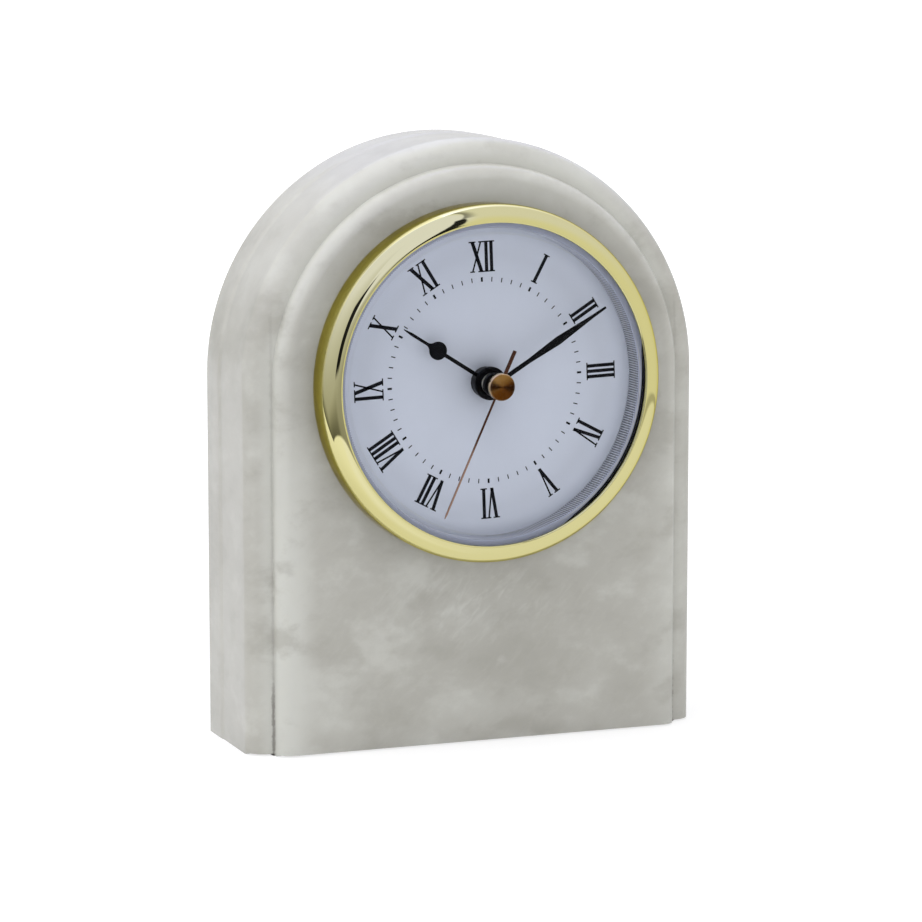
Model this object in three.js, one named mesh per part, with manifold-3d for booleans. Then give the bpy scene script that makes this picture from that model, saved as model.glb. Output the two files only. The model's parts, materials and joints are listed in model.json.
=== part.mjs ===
// A marble desk clock: three marble slabs glued into a stepped arch, with a quartz clock insert
// pressed into a round bore. Millimetres, +Z up, the dial faces -Y, the origin is the middle of
// the base. The insert is modelled in its own group, where Z runs out of the dial to the viewer.
import * as THREE from 'three';
import { mergeVertices } from 'three/addons/utils/BufferGeometryUtils.js';
import Module from 'manifold-3d';

const wasm = await Module();
wasm.setup();

// Clearances
const seatGap = 0.3; // between a piece and the piece that carries it
const runGap = 0.25; // around a shaft that turns, on the radius
const axialGap = 0.4; // between neighbouring levels of the gear train
const weld = 0.4; // how far joined solids reach into each other

// Marble case
const caseWidth = 121;
const caseDepth = 38.1; // three slabs of the same thickness
const archHeight = 92.6; // centre of the arch, the bore and the dial above the base
const backSlabLip = 0.3; // the back slab is wider on each side by this
const tierStep = 4.3; // the front tier stands proud by this
const tierMargin = 6.4; // and lies this far inside the case's outline
const tierEdge = 3.7; // edge roundings
const bodyEdge = 5;
const backEdge = 1.2;
const seamEase = 0.2; // small chamfer where two slabs meet
const baseEase = 0.5; // edges lift off the table by this

// Battery, an AA cell
const batteryLength = 50.5;
const batteryDiameter = 14.2;
const batteryNubLength = 1;
const batteryNubDiameter = 5.4;
const batteryEdge = 0.8;

// Gear train: tooth counts, then modules, then the directions in which the axes lie
const secondsPinionTeeth = 8;
const thirdWheelTeeth = 60;
const thirdPinionTeeth = 8;
const centreWheelTeeth = 64;
const secondsWheelTeeth = 40;
const fifthPinionTeeth = 8;
const fifthWheelTeeth = 48;
const rotorPinionTeeth = 8;
const cannonPinionTeeth = 10;
const motionWheelTeeth = 30;
const motionPinionTeeth = 8;
const hourWheelTeeth = 32;
const knobPinionTeeth = 10;
const thirdModule = 0.28;
const fifthModule = 0.3;
const rotorModule = 0.25;
const motionModule = 0.4;
const thirdDirection = THREE.MathUtils.degToRad(40);
const fifthDirection = THREE.MathUtils.degToRad(150);
const rotorDirection = THREE.MathUtils.degToRad(120);
const motionDirection = THREE.MathUtils.degToRad(190);
const knobDirection = THREE.MathUtils.degToRad(180);
const wheelThickness = 0.8;

// Tooth forms in modules, with the flats at the tip and in the gap as shares of the pitch
const leafForm = { addendum: 0.9, dedendum: 1.25, tip: 0.16, gap: 0.3 };
const wheelForm = { addendum: 0.9, dedendum: 1.15, tip: 0, gap: 0.25 };

// Arbors and bearings
const pivotRadius = 0.5;
const pivotLength = 1.2;
const arborRadius = 0.8;
const postRadius = 1.4;
const secondsArborRadius = 0.55;
const tubeWall = 0.65; // wall of the minute arbor and the hour pipe
const bushingWall = 0.5;
const knobShaftRadius = 1.2;
const motionPostRadius = 0.6;

// Movement
const movementWall = 1.2; // front and back walls
const sideWall = 1.5;
const bayWall = 1.2;
const movementCorner = 3;
const contactRoom = 1.25; // at each end of the battery
const trainClear = 0.8; // between the largest wheel and the battery bay
const plateThickness = 1;
const cornerPostInset = 5;
const magnetRadius = 2.8;
const magnetLength = 2.8;
const rearRoom = 2.2; // behind the rotor, for the circuit board
const statorGap = 0.5;
const statorThickness = 0.8;
const statorArm = 11.2; // from the rotor to each end
const statorRim = 1.1; // iron around the rotor hole
const statorLeg = 4;
const coilRise = 10.6; // coil axis above the rotor
const coilRadius = 2.6;
const bobbinFlange = 0.3;
const bobbinFlangeWidth = 0.8;
const coreWidth = 2.4;
const boardThickness = 1;
const boardHeight = 5.9;
const boardMargin = 7.5; // from the board's end to the movement's side
const chipSize = 4;
const chipHeight = 0.9;
const chipInset = 14.5; // middle of the chip from the board's right end
const crystalRadius = 1.5;
const crystalLength = 8;
const crystalInset = 6;
const contactThickness = 0.4;
const contactWidth = 6;
const contactReach = 2; // overlap with the circuit board
const contactBump = 0.5;
const plusBumpRadius = 1.5;
const minusBumpRadius = 3;
const knobRadius = 6;
const knobHeight = 4;
const knobGrips = 20;
const knobGripDepth = 0.25;

// Insert, heights from the face of the dial
const insertRoll = THREE.MathUtils.degToRad(2.1); // the insert sits turned in its bore
const dialProud = 1.7; // dial face in front of the marble
const dialThickness = 0.4;
const gripThickness = 1.4;
const gripRibs = 3;
const gripRibDepth = 0.7;
const gripLength = 12;
const skirtWall = 1.2;
const skirtPast = 5.5; // the skirt reaches past the movement by this
const flangeLedge = 2.75; // flange outside the bore
const bezelWall = 0.8;
const bezelRim = 4.9; // height of the straight side wall
const bezelLip = 1.2;
const bezelLipReach = 0.6; // the lip covers this much of the lens
const glassInset = 2.9; // from the flange's edge to the edge of dial, ring and lens
const ringWall = 2;
const ringHeight = 6;
const lensEdge = 0.7;
const lensPlay = 0.2;
const lensThickness = 1.7;
const lensWall = 0.9; // upright wall at the lip
const lensShoulder = 1.4; // slope from the wall to the dome
const lensRise = 14.6; // top of the dome
const lipGap = 0.3; // between the lens and the bezel's lip
const nutHeight = 1.8;
const nutWall = 0.5;

// Hands: lengths from the axis, clockwise angles from the twelve, rise of each over the one below
const hourHand = { length: 27, angle: 304.4, rise: 3.1 };
const minuteHand = { length: 35, angle: 61, rise: 3.2 };
const secondHand = { length: 35.6, angle: 205.1, rise: 3.5 };
const handThickness = 0.5;
const hourHubRadius = 4.2;
const hourHubHeight = 1.4;
const hourStemWidth = 0.95;
const hourBlobRadius = 2.4;
const hourBlobPlace = 16.4;
const hourPointWidth = 0.7;
const minuteHubRadius = 3;
const minuteHubHeight = 1.6;
const minuteStemWidth = 1.1;
const minuteStemEnd = 11;
const minuteLeafWidth = 2.1;
const minuteLeafPlace = 20;
const minutePointWidth = 0.7;
const minutePointPlace = 30.5;
const needleWidth = 0.5;
const needleDip = 2.5; // the tip is bent towards the dial by this
const tailWidth = 0.9;
const tailLength = 9.6;
const secondHubRadius = 2;
const secondPipeLength = 1.2;
const capRadius = 3.42;
const capHeight = 1.4;
const capEdge = 0.3;

// Facets
const largeSegments = 48;
const roundSegments = 32;
const smallSegments = 10;
const archSegments = 36;
const edgeSteps = 3;
const domeSteps = 4;
const weldTolerance = 1e-4;

// Worked out for the case
const slabThickness = caseDepth / 3;
const frontY = -caseDepth / 2;
const marble = -dialProud; // the marble's front face, as a height over the dial

// Worked out for the gear train, as axes seen from the front
const centreAxis = [0, 0];
const thirdDistance = (thirdModule * (secondsPinionTeeth + thirdWheelTeeth)) / 2;
const centreModule = (2 * thirdDistance) / (thirdPinionTeeth + centreWheelTeeth);
const fifthDistance = (fifthModule * (secondsWheelTeeth + fifthPinionTeeth)) / 2;
const rotorDistance = (rotorModule * (fifthWheelTeeth + rotorPinionTeeth)) / 2;
const motionDistance = (motionModule * (cannonPinionTeeth + motionWheelTeeth)) / 2;
const hourModule = (2 * motionDistance) / (motionPinionTeeth + hourWheelTeeth);
const knobDistance = (motionModule * (motionWheelTeeth + knobPinionTeeth)) / 2;
const thirdAxis = along(centreAxis, thirdDirection, thirdDistance);
const fifthAxis = along(centreAxis, fifthDirection, fifthDistance);
const rotorAxis = along(fifthAxis, rotorDirection, rotorDistance);
const motionAxis = along(centreAxis, motionDirection, motionDistance);
const knobAxis = along(motionAxis, knobDirection, knobDistance);
const centreWheelRadius = centreModule * (centreWheelTeeth / 2 + wheelForm.addendum);

// Worked out for the levels, each named for its front face
const chamberFront = marble - movementWall;
const hourLevel = chamberFront - axialGap;
const motionLevel = below(hourLevel);
const centreLevel = below(motionLevel);
const plateFront = below(centreLevel);
const plateBack = plateFront - plateThickness;
const thirdLevel = plateBack - axialGap;
const secondsLevel = below(thirdLevel);
const fifthLevel = below(secondsLevel);
const rotorFront = below(fifthLevel);
const rotorBack = rotorFront - magnetLength;
const coverFront = rotorBack - rearRoom;
const movementBack = coverFront - movementWall;
const statorFront = rotorFront - (magnetLength - statorThickness) / 3;
const statorBack = statorFront - statorThickness;
const coreBack = statorBack - statorThickness;
const boardFront = coverFront + boardThickness;

// Worked out for the movement's outline: the battery sets the width, the train and bay the height
const trainRoom = centreWheelRadius + trainClear;
const movementHalfWidth = batteryLength / 2 + contactRoom + sideWall;
const bayHeight = batteryDiameter + 2 * seatGap;
const movementHalfHeight = trainRoom + bayWall + bayHeight + sideWall;
const chamberHalfWidth = movementHalfWidth - sideWall;
const chamberTop = movementHalfHeight - sideWall;
const bayTop = -trainRoom - bayWall;
const bayBottom = bayTop - bayHeight;
const batteryUp = (bayTop + bayBottom) / 2;
const batteryDepth = chamberFront - seatGap - batteryDiameter / 2;
const boardHalfWidth = movementHalfWidth - boardMargin;
const boardBottom = -trainRoom + seatGap;
const chipPlace = boardHalfWidth - chipInset;
const crystalPlace = boardHalfWidth - crystalInset;
const coilUp = rotorAxis[1] + coilRise;
const coilDepth = (statorBack + coreBack) / 2;
const coilHalfLength = statorArm - statorLeg - seatGap;
const cornerPostX = chamberHalfWidth - cornerPostInset / 1.5;
const cornerPosts = [
  [-cornerPostX, chamberTop - cornerPostInset],
  [cornerPostX, chamberTop - cornerPostInset],
  [-cornerPostX, boardBottom + cornerPostInset],
  [cornerPostX, boardBottom + cornerPostInset],
];

// Worked out for the insert's rings, from the movement outwards
const movementReach = movementCorner
  + Math.hypot(movementHalfWidth - movementCorner, movementHalfHeight - movementCorner);
const skirtInner = movementReach + seatGap;
const skirtOuter = skirtInner + skirtWall;
const gripInner = skirtOuter + seatGap;
const gripOuter = gripInner + gripThickness;
const boreRadius = gripOuter + seatGap;
const flangeRadius = boreRadius + flangeLedge;
const bezelRadius = flangeRadius + seatGap + bezelWall;
const glassRadius = flangeRadius - glassInset;
const skirtBack = movementBack - skirtPast;
const hourHeight = hourHand.rise;
const minuteHeight = hourHeight + minuteHand.rise;
const secondHeight = minuteHeight + secondHand.rise;
const minuteBore = secondsArborRadius + runGap;
const minuteRadius = minuteBore + tubeWall;
const hourBore = minuteRadius + runGap;
const hourRadius = hourBore + tubeWall;
const bushingBore = hourRadius + runGap;
const bushingRadius = bushingBore + bushingWall;
const nutBore = bushingRadius + seatGap;
const dialHole = nutBore;

// A point at a distance from another in a direction.
function along([x, y], direction, distance) {
  return [x + distance * Math.cos(direction), y + distance * Math.sin(direction)];
}

// The next level of the train behind a wheel whose front face is given.
function below(level) {
  return level - wheelThickness - axialGap;
}

// A closed geometry as a solid that can be joined and cut.
function solid(geometry) {
  geometry.deleteAttribute('normal');
  geometry.deleteAttribute('uv');
  const merged = mergeVertices(geometry, weldTolerance);
  const corners = merged.index.array;
  const kept = [];
  for (let i = 0; i < corners.length; i += 3) {
    const [a, b, c] = corners.subarray(i, i + 3);
    if (a !== b && b !== c && c !== a) kept.push(a, b, c);
  }
  return new wasm.Manifold(new wasm.Mesh({
    numProp: 3,
    vertProperties: Float32Array.from(merged.attributes.position.array),
    triVerts: Uint32Array.from(kept),
  }));
}

// A solid turned about Z from a closed profile of [radius, height] points.
function turned(profile, segments = roundSegments) {
  const points = profile.map(([radius, height]) => new THREE.Vector2(radius, height));
  if (THREE.ShapeUtils.area(points) < 0) points.reverse();
  const onAxis = points[0].x === 0 && points[points.length - 1].x === 0;
  if (!onAxis) points.push(points[0].clone());
  return solid(new THREE.LatheGeometry(points, segments).rotateX(Math.PI / 2));
}

// A flat shape carried along Z between two heights.
function prism(shape, low, high, curveSegments = smallSegments) {
  const settings = { depth: high - low, bevelEnabled: false, curveSegments };
  return solid(new THREE.ExtrudeGeometry(shape, settings).translate(0, 0, low));
}

// A round rod along Z.
function rod(radius, low, high, [x, y] = centreAxis, segments = smallSegments) {
  const geometry = new THREE.CylinderGeometry(radius, radius, high - low, segments);
  return solid(geometry.rotateX(Math.PI / 2).translate(x, y, (low + high) / 2));
}

// A rectangular block between two corners.
function block([x0, y0, z0], [x1, y1, z1]) {
  const geometry = new THREE.BoxGeometry(x1 - x0, y1 - y0, z1 - z0);
  return solid(geometry.translate((x0 + x1) / 2, (y0 + y1) / 2, (z0 + z1) / 2));
}

// Several solids as one.
function joined(...solids) {
  return solids.reduce((sum, next) => sum.add(next));
}

// A rectangle with round corners.
function roundedRectangle(x0, y0, x1, y1, radius) {
  const shape = new THREE.Shape();
  shape.absarc(x1 - radius, y0 + radius, radius, -Math.PI / 2, 0);
  shape.absarc(x1 - radius, y1 - radius, radius, 0, Math.PI / 2);
  shape.absarc(x0 + radius, y1 - radius, radius, Math.PI / 2, Math.PI);
  shape.absarc(x0 + radius, y0 + radius, radius, Math.PI, 1.5 * Math.PI);
  shape.closePath();
  return shape;
}

// A gear's outline, with the middle of a tooth at its phase angle.
function gearOutline(teeth, module, form, phase) {
  const pitch = (2 * Math.PI) / teeth;
  const tipRadius = module * (teeth / 2 + form.addendum);
  const rootRadius = module * (teeth / 2 - form.dedendum);
  const tipHalf = (form.tip * pitch) / 2;
  const rootHalf = ((1 - form.gap) * pitch) / 2;
  const points = [];
  const put = (radius, angle) => {
    points.push(new THREE.Vector2(radius * Math.cos(angle), radius * Math.sin(angle)));
  };
  for (let tooth = 0; tooth < teeth; tooth += 1) {
    const middle = phase + tooth * pitch;
    put(rootRadius, middle - rootHalf);
    put(tipRadius, middle - tipHalf);
    if (form.tip > 0) put(tipRadius, middle + tipHalf);
    put(rootRadius, middle + rootHalf);
  }
  return new THREE.Shape(points);
}

// A gear between two heights on its axis.
function gear(teeth, module, form, phase, low, high, [x, y] = centreAxis) {
  return prism(gearOutline(teeth, module, form, phase), low, high).translate([x, y, 0]);
}

// The phase that puts a gear in mesh with one whose teeth and phase are known, in a direction.
function meshedPhase(teeth, phase, direction, otherTeeth) {
  const past = ((phase - direction) * teeth) / (2 * Math.PI);
  return direction + Math.PI + ((0.5 - past) * 2 * Math.PI) / otherTeeth;
}

// A bearing post with a blind hole for a pivot in its tip.
function bearingPost(axis, root, tip) {
  const inward = Math.sign(root - tip);
  const holeEnd = tip + inward * (pivotLength + seatGap);
  const holeStart = tip - inward * seatGap;
  const post = rod(postRadius, Math.min(root, tip), Math.max(root, tip), axis);
  const low = Math.min(holeStart, holeEnd);
  const high = Math.max(holeStart, holeEnd);
  return post.subtract(rod(pivotRadius + runGap, low, high, axis));
}

// A named mesh of a finished solid with its own material.
function piece(name, body, color, roughness, metalness = 0) {
  const { vertProperties, triVerts } = body.getMesh();
  const geometry = new THREE.BufferGeometry();
  geometry.setAttribute('position', new THREE.BufferAttribute(vertProperties, 3));
  geometry.setIndex(new THREE.BufferAttribute(triVerts, 1));
  geometry.computeVertexNormals();
  const material = new THREE.MeshStandardMaterial({ color, roughness, metalness });
  const mesh = new THREE.Mesh(geometry, material);
  mesh.name = name;
  return mesh;
}

// The arch's outline for a given half width, from the left foot round to the left side.
function archOutline(halfWidth, lift) {
  const points = [[-halfWidth, lift], [halfWidth, lift]];
  for (let step = 0; step <= archSegments; step += 1) {
    const angle = (step / archSegments) * Math.PI;
    points.push([halfWidth * Math.cos(angle), archHeight + halfWidth * Math.sin(angle)]);
  }
  return points;
}

// A slab lofted through arch sections, front to back: depth, inset from the half width, lift.
function archLoft(halfWidth, sections) {
  const positions = [];
  for (const { y, inset, lift } of sections) {
    for (const [x, z] of archOutline(halfWidth - inset, lift)) positions.push(x, y, z);
  }
  const count = archSegments + 3;
  const faces = [];
  for (let ring = 0; ring + 1 < sections.length; ring += 1) {
    for (let i = 0; i < count; i += 1) {
      const a = ring * count + i;
      const b = ring * count + ((i + 1) % count);
      faces.push(a, a + count, b, b, a + count, b + count);
    }
  }
  const last = (sections.length - 1) * count;
  for (let i = 1; i + 1 < count; i += 1) {
    faces.push(0, i, i + 1, last, last + i + 1, last + i);
  }
  const geometry = new THREE.BufferGeometry();
  geometry.setAttribute('position', new THREE.Float32BufferAttribute(positions, 3));
  geometry.setIndex(faces);
  return solid(geometry);
}

// Sections of a quarter-round edge: from the front face outwards, or from the side to the back.
function roundedEdge(y, radius, inset, toBack) {
  const sections = [];
  for (let step = 0; step <= edgeSteps; step += 1) {
    const turn = ((toBack ? edgeSteps - step : step) / edgeSteps) * (Math.PI / 2);
    const drop = radius * (1 - Math.sin(turn));
    const depth = radius * (1 - Math.cos(turn));
    sections.push({
      y: toBack ? y - depth : y + depth,
      inset: inset + drop,
      lift: Math.min(drop, baseEase),
    });
  }
  return sections;
}

// Two sections of the small chamfer at a seam.
function seamEdge(y, inward) {
  const flush = { y: y + inward * seamEase, inset: 0, lift: 0 };
  const eased = { y, inset: seamEase, lift: Math.min(seamEase, baseEase) };
  return inward > 0 ? [eased, flush] : [flush, eased];
}

// The bore for the insert runs through all three slabs.
function bored(slab) {
  const bore = new THREE.CylinderGeometry(boreRadius, boreRadius, 2 * caseDepth, largeSegments);
  return slab.subtract(solid(bore.translate(0, 0, archHeight)));
}

function frontSlab() {
  const stepY = frontY + tierStep;
  const sections = [
    ...roundedEdge(frontY, tierEdge, tierMargin, false),
    { y: stepY, inset: tierMargin, lift: 0 },
    ...roundedEdge(stepY, bodyEdge, 0, false),
    ...seamEdge(frontY + slabThickness, -1),
  ];
  return bored(archLoft(caseWidth / 2, sections));
}

function middleSlab() {
  const start = frontY + slabThickness;
  const sections = [...seamEdge(start, 1), ...seamEdge(start + slabThickness, -1)];
  return bored(archLoft(caseWidth / 2, sections));
}

function backSlab() {
  const end = frontY + caseDepth;
  const sections = [
    ...seamEdge(end - slabThickness, 1),
    ...roundedEdge(end, backEdge, 0, true),
  ];
  return bored(archLoft(caseWidth / 2 + backSlabLip, sections));
}

// Black housing: a plate with a flange under the bezel, and a skirt with a bead behind the grip.
function insertCup() {
  const plateTop = -dialThickness;
  const beadFront = skirtBack + skirtWall;
  const beadRadius = gripOuter - gripRibDepth;
  return turned([
    [dialHole, marble],
    [skirtInner, marble],
    [skirtInner, skirtBack],
    [beadRadius, skirtBack],
    [beadRadius, beadFront],
    [skirtOuter, beadFront],
    [skirtOuter, marble],
    [flangeRadius, marble],
    [flangeRadius, plateTop],
    [dialHole, plateTop],
  ]);
}

// Rubber band with round ribs.
function gripRing() {
  const front = marble - slabThickness / 4;
  const ribPitch = gripLength / gripRibs;
  const profile = [[gripInner, front], [gripInner, front - gripLength]];
  for (let rib = gripRibs - 1; rib >= 0; rib -= 1) {
    const top = front - rib * ribPitch;
    profile.push([gripOuter - gripRibDepth, top - ribPitch]);
    profile.push([gripOuter, top - 0.65 * ribPitch]);
    profile.push([gripOuter, top - 0.35 * ribPitch]);
  }
  profile.push([gripOuter - gripRibDepth, front]);
  return turned(profile);
}

// Gold ring: straight wall, a face that rolls over as a quarter of an ellipse, a lip on the lens.
function bezel() {
  const lipUnder = ringHeight + lensEdge + lensPlay;
  const lipTop = lipUnder + bezelLip;
  const opening = glassRadius - bezelLipReach + seatGap;
  const inner = glassRadius + seatGap;
  const crest = opening + bezelLip / 3;
  const face = [];
  for (let step = 0; step <= 2 * edgeSteps; step += 1) {
    const turn = (step / (2 * edgeSteps)) * (Math.PI / 2);
    const radius = crest + (bezelRadius - crest) * Math.cos(turn);
    face.push([radius, bezelRim + (lipTop - bezelRim) * Math.sin(turn)]);
  }
  return turned([
    [flangeRadius + seatGap, marble],
    [bezelRadius, marble],
    ...face,
    [opening, lipTop - bezelLip / 3],
    [opening, lipUnder],
    [inner, lipUnder],
    [inner, -dialThickness],
    [flangeRadius + seatGap, -dialThickness],
  ], largeSegments);
}

// Ring that spaces the lens off the dial.
function dialRing() {
  const inner = glassRadius - ringWall;
  return turned([
    [inner, 0],
    [glassRadius, 0],
    [glassRadius, ringHeight],
    [inner, ringHeight],
  ], largeSegments);
}

// Points of a dome from its rim to the axis, on a circle through the rim and the top.
function dome(rimRadius, rimHeight, topHeight) {
  const rise = topHeight - rimHeight;
  const radius = (rimRadius ** 2 + rise ** 2) / (2 * rise);
  const half = Math.asin(rimRadius / radius);
  const points = [];
  for (let step = 0; step <= domeSteps; step += 1) {
    const angle = half * (1 - step / domeSteps);
    points.push([radius * Math.sin(angle), topHeight - radius * (1 - Math.cos(angle))]);
  }
  return points;
}

// Domed lens: a flat edge under the bezel's lip, a short wall, a sloping shoulder and the dome.
function lens() {
  const edgeTop = ringHeight + lensEdge;
  const wallTop = edgeTop + lensWall;
  const foot = glassRadius - bezelLipReach - lipGap + seatGap;
  const innerFoot = foot - lensThickness;
  const innerTop = ringHeight + lensWall;
  return turned([
    [innerFoot, ringHeight],
    [glassRadius, ringHeight],
    [glassRadius, edgeTop],
    [foot, edgeTop],
    [foot, wallTop],
    ...dome(foot - lensShoulder, wallTop + lensShoulder, lensRise),
    ...dome(innerFoot - lensShoulder, innerTop + lensShoulder, lensRise - lensThickness).reverse(),
    [innerFoot, innerTop],
  ]);
}

function dial() {
  return turned([
    [dialHole, -dialThickness],
    [glassRadius, -dialThickness],
    [glassRadius, 0],
    [dialHole, 0],
  ]);
}

// Ring nut on the bushing, with two slots for a spanner.
function ringNut() {
  const outer = nutBore + nutWall;
  const nut = hub(outer, nutBore, 0, nutHeight);
  const slot = block(
    [-nutWall / 2, -outer - weld, nutHeight / 2],
    [nutWall / 2, outer + weld, nutHeight + weld],
  );
  return nut.subtract(slot);
}

// A hand turned clockwise from the twelve.
function handAt(body, { angle }) {
  return body.rotate([0, 0, -angle]);
}

// A hub with a bore for the tube or arbor that carries it.
function hub(radius, bore, low, high) {
  return turned([[bore, low], [radius, low], [radius, high], [bore, high]], 2 * smallSegments);
}

// Hour hand: stem, round blob and a long point.
function hourHandBody() {
  const { length } = hourHand;
  const height = hourHeight;
  const bore = hourRadius + runGap;
  const outline = new THREE.Shape();
  const half = hourStemWidth / 2;
  const point = hourPointWidth / 2;
  const blobFoot = Math.asin(half / hourBlobRadius);
  const blobHead = Math.asin(point / hourBlobRadius);
  const up = Math.PI / 2;
  outline.moveTo(-half, bore + weld);
  outline.lineTo(half, bore + weld);
  outline.absarc(0, hourBlobPlace, hourBlobRadius, -up + blobFoot, up - blobHead, false);
  outline.lineTo(point, length - hourBlobRadius);
  outline.lineTo(0, length);
  outline.lineTo(-point, length - hourBlobRadius);
  outline.absarc(0, hourBlobPlace, hourBlobRadius, up + blobHead, 3 * up - blobFoot, false);
  outline.closePath();
  const blade = prism(outline, height, height + handThickness);
  const low = height - (hourHubHeight - handThickness) / 2;
  return handAt(joined(hub(hourHubRadius, bore, low, low + hourHubHeight), blade), hourHand);
}

// Minute hand: a stem that swells into a slim leaf and ends in a point.
function minuteHandBody() {
  const { length } = minuteHand;
  const height = minuteHeight;
  const bore = minuteRadius + runGap;
  const side = [
    [minuteStemWidth / 2, bore + weld],
    [minuteStemWidth / 2, minuteStemEnd],
    [minuteLeafWidth / 2, minuteLeafPlace],
    [minutePointWidth / 2, minutePointPlace],
    [minutePointWidth / 4, length],
  ];
  const right = side.map(([x, y]) => new THREE.Vector2(x, y));
  const left = side.map(([x, y]) => new THREE.Vector2(-x, y)).reverse();
  const blade = prism(new THREE.Shape([...right, ...left]), height, height + handThickness);
  const low = height - (minuteHubHeight - handThickness) / 2;
  const collar = hub(minuteHubRadius, bore, low, low + minuteHubHeight);
  return handAt(joined(collar, blade), minuteHand);
}

// Second hand: needle and tail on a small hub with a pipe behind it.
function secondHandBody() {
  const { length } = secondHand;
  const height = secondHeight;
  const bore = secondsArborRadius + runGap;
  const top = height + handThickness;
  const sideView = new THREE.Shape([
    new THREE.Vector2(bore + weld, height),
    new THREE.Vector2(length, height - needleDip),
    new THREE.Vector2(length, height - needleDip + handThickness / 2),
    new THREE.Vector2(bore + weld, top),
  ]);
  const needle = prism(sideView, -needleWidth / 2, needleWidth / 2).rotate([90, 0, 90]);
  const tail = block([-tailWidth / 2, -tailLength, height], [tailWidth / 2, -bore - weld, top]);
  const boss = hub(secondHubRadius, bore, height, top);
  const pipe = hub(bore + tubeWall, bore, height - secondPipeLength, top);
  return handAt(joined(boss, pipe, needle, tail), secondHand);
}

// Brass cap that covers the end of the seconds arbor.
function secondHandCap() {
  const low = secondHeight + handThickness;
  const top = low + capHeight;
  const bore = secondsArborRadius + runGap;
  const socket = low + capHeight / 2 + runGap;
  return turned([
    [0, socket],
    [bore, socket],
    [bore, low],
    [capRadius, low],
    [capRadius, top - capEdge],
    [capRadius - capEdge, top],
    [0, top],
  ], 2 * smallSegments);
}

// Movement tub: front wall with the bushing, train chamber, battery bay and bearing posts.
function movementCase() {
  const tub = prism(roundedRectangle(
    -movementHalfWidth,
    -movementHalfHeight,
    movementHalfWidth,
    movementHalfHeight,
    movementCorner,
  ), coverFront, marble, 3);
  const innerCorner = movementCorner - sideWall;
  const chamber = prism(roundedRectangle(
    -chamberHalfWidth,
    -trainRoom,
    chamberHalfWidth,
    chamberTop,
    innerCorner,
  ), coverFront - weld, chamberFront, 3);
  const bay = prism(roundedRectangle(
    -chamberHalfWidth,
    bayBottom,
    chamberHalfWidth,
    bayTop,
    innerCorner,
  ), coverFront - weld, chamberFront, 3);
  const slotWidth = contactRoom - contactThickness / 2;
  const slots = [-1, 1].map((side) => {
    const outer = side * chamberHalfWidth;
    const inner = side * (chamberHalfWidth - slotWidth);
    return block(
      [Math.min(outer, inner), bayTop - weld - innerCorner, coverFront - weld],
      [Math.max(outer, inner), -trainRoom + weld + innerCorner, chamberFront],
    );
  });
  const shell = slots.reduce((rest, slot) => rest.subtract(slot), tub.subtract(chamber).subtract(bay));
  const bushing = rod(bushingRadius, chamberFront, nutHeight, centreAxis, 2 * smallSegments);
  const root = chamberFront + weld;
  const motionPost = rod(motionPostRadius, centreLevel + axialGap / 2, root, motionAxis);
  const posts = [
    bearingPost(thirdAxis, root, centreLevel + axialGap),
    bearingPost(knobAxis, root, motionLevel + axialGap),
    ...cornerPosts.map((axis) => rod(postRadius, plateFront, root, axis)),
  ];
  const pipeHole = rod(bushingBore, chamberFront - weld, nutHeight + weld, centreAxis, 2 * smallSegments);
  return joined(shell, bushing, motionPost, ...posts).subtract(pipeHole);
}

// Back plate over the train chamber, with the rear bearings and posts that hold the train plate.
function movementCover() {
  const plate = prism(roundedRectangle(
    -movementHalfWidth,
    bayTop,
    movementHalfWidth,
    movementHalfHeight,
    movementCorner,
  ), movementBack, coverFront, 3);
  const root = coverFront - weld;
  const posts = [
    bearingPost(thirdAxis, root, below(thirdLevel) + axialGap / 2),
    bearingPost(fifthAxis, root, rotorFront),
    bearingPost(rotorAxis, root, rotorBack - axialGap),
    bearingPost(centreAxis, root, rotorFront),
    ...cornerPosts.map((axis) => rod(postRadius, root, plateBack, axis)),
  ];
  const shaftHole = rod(knobShaftRadius + runGap, movementBack - weld, coverFront + weld, knobAxis);
  return joined(plate, ...posts).subtract(shaftHole);
}

// Middle plate between the case's and the cover's posts, with pegs that carry the stator.
function trainPlate() {
  const plate = prism(roundedRectangle(
    -chamberHalfWidth + seatGap,
    -trainRoom + seatGap,
    chamberHalfWidth - seatGap,
    chamberTop - seatGap,
    movementCorner,
  ), plateBack, plateFront, 3);
  const pegs = [-1, 1].map((side) => rod(
    postRadius,
    statorFront,
    plateBack + weld,
    [rotorAxis[0] + side * (statorArm - statorLeg / 2), (rotorAxis[1] + coilUp) / 2],
  ));
  const holes = [
    [secondsArborRadius + runGap, centreAxis],
    [arborRadius + 2 * seatGap, thirdAxis],
    [pivotRadius + runGap, fifthAxis],
    [pivotRadius + runGap, rotorAxis],
    [knobShaftRadius + runGap, knobAxis],
  ];
  return holes.reduce(
    (rest, [radius, axis]) => rest.subtract(rod(radius, plateBack - weld, plateFront + weld, axis)),
    joined(plate, ...pegs),
  );
}

// Phases that put every pair of gears in mesh at rest
const thirdPhase = meshedPhase(secondsPinionTeeth, 0, thirdDirection, thirdWheelTeeth);
const centrePhase = meshedPhase(thirdPinionTeeth, 0, thirdDirection + Math.PI, centreWheelTeeth);
const fifthPhase = meshedPhase(secondsWheelTeeth, 0, fifthDirection, fifthPinionTeeth);
const rotorPhase = meshedPhase(fifthWheelTeeth, 0, rotorDirection, rotorPinionTeeth);
const motionPhase = meshedPhase(cannonPinionTeeth, 0, motionDirection, motionWheelTeeth);
const hourPhase = meshedPhase(motionPinionTeeth, 0, motionDirection + Math.PI, hourWheelTeeth);
const knobPhase = meshedPhase(motionWheelTeeth, motionPhase, knobDirection, knobPinionTeeth);

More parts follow.
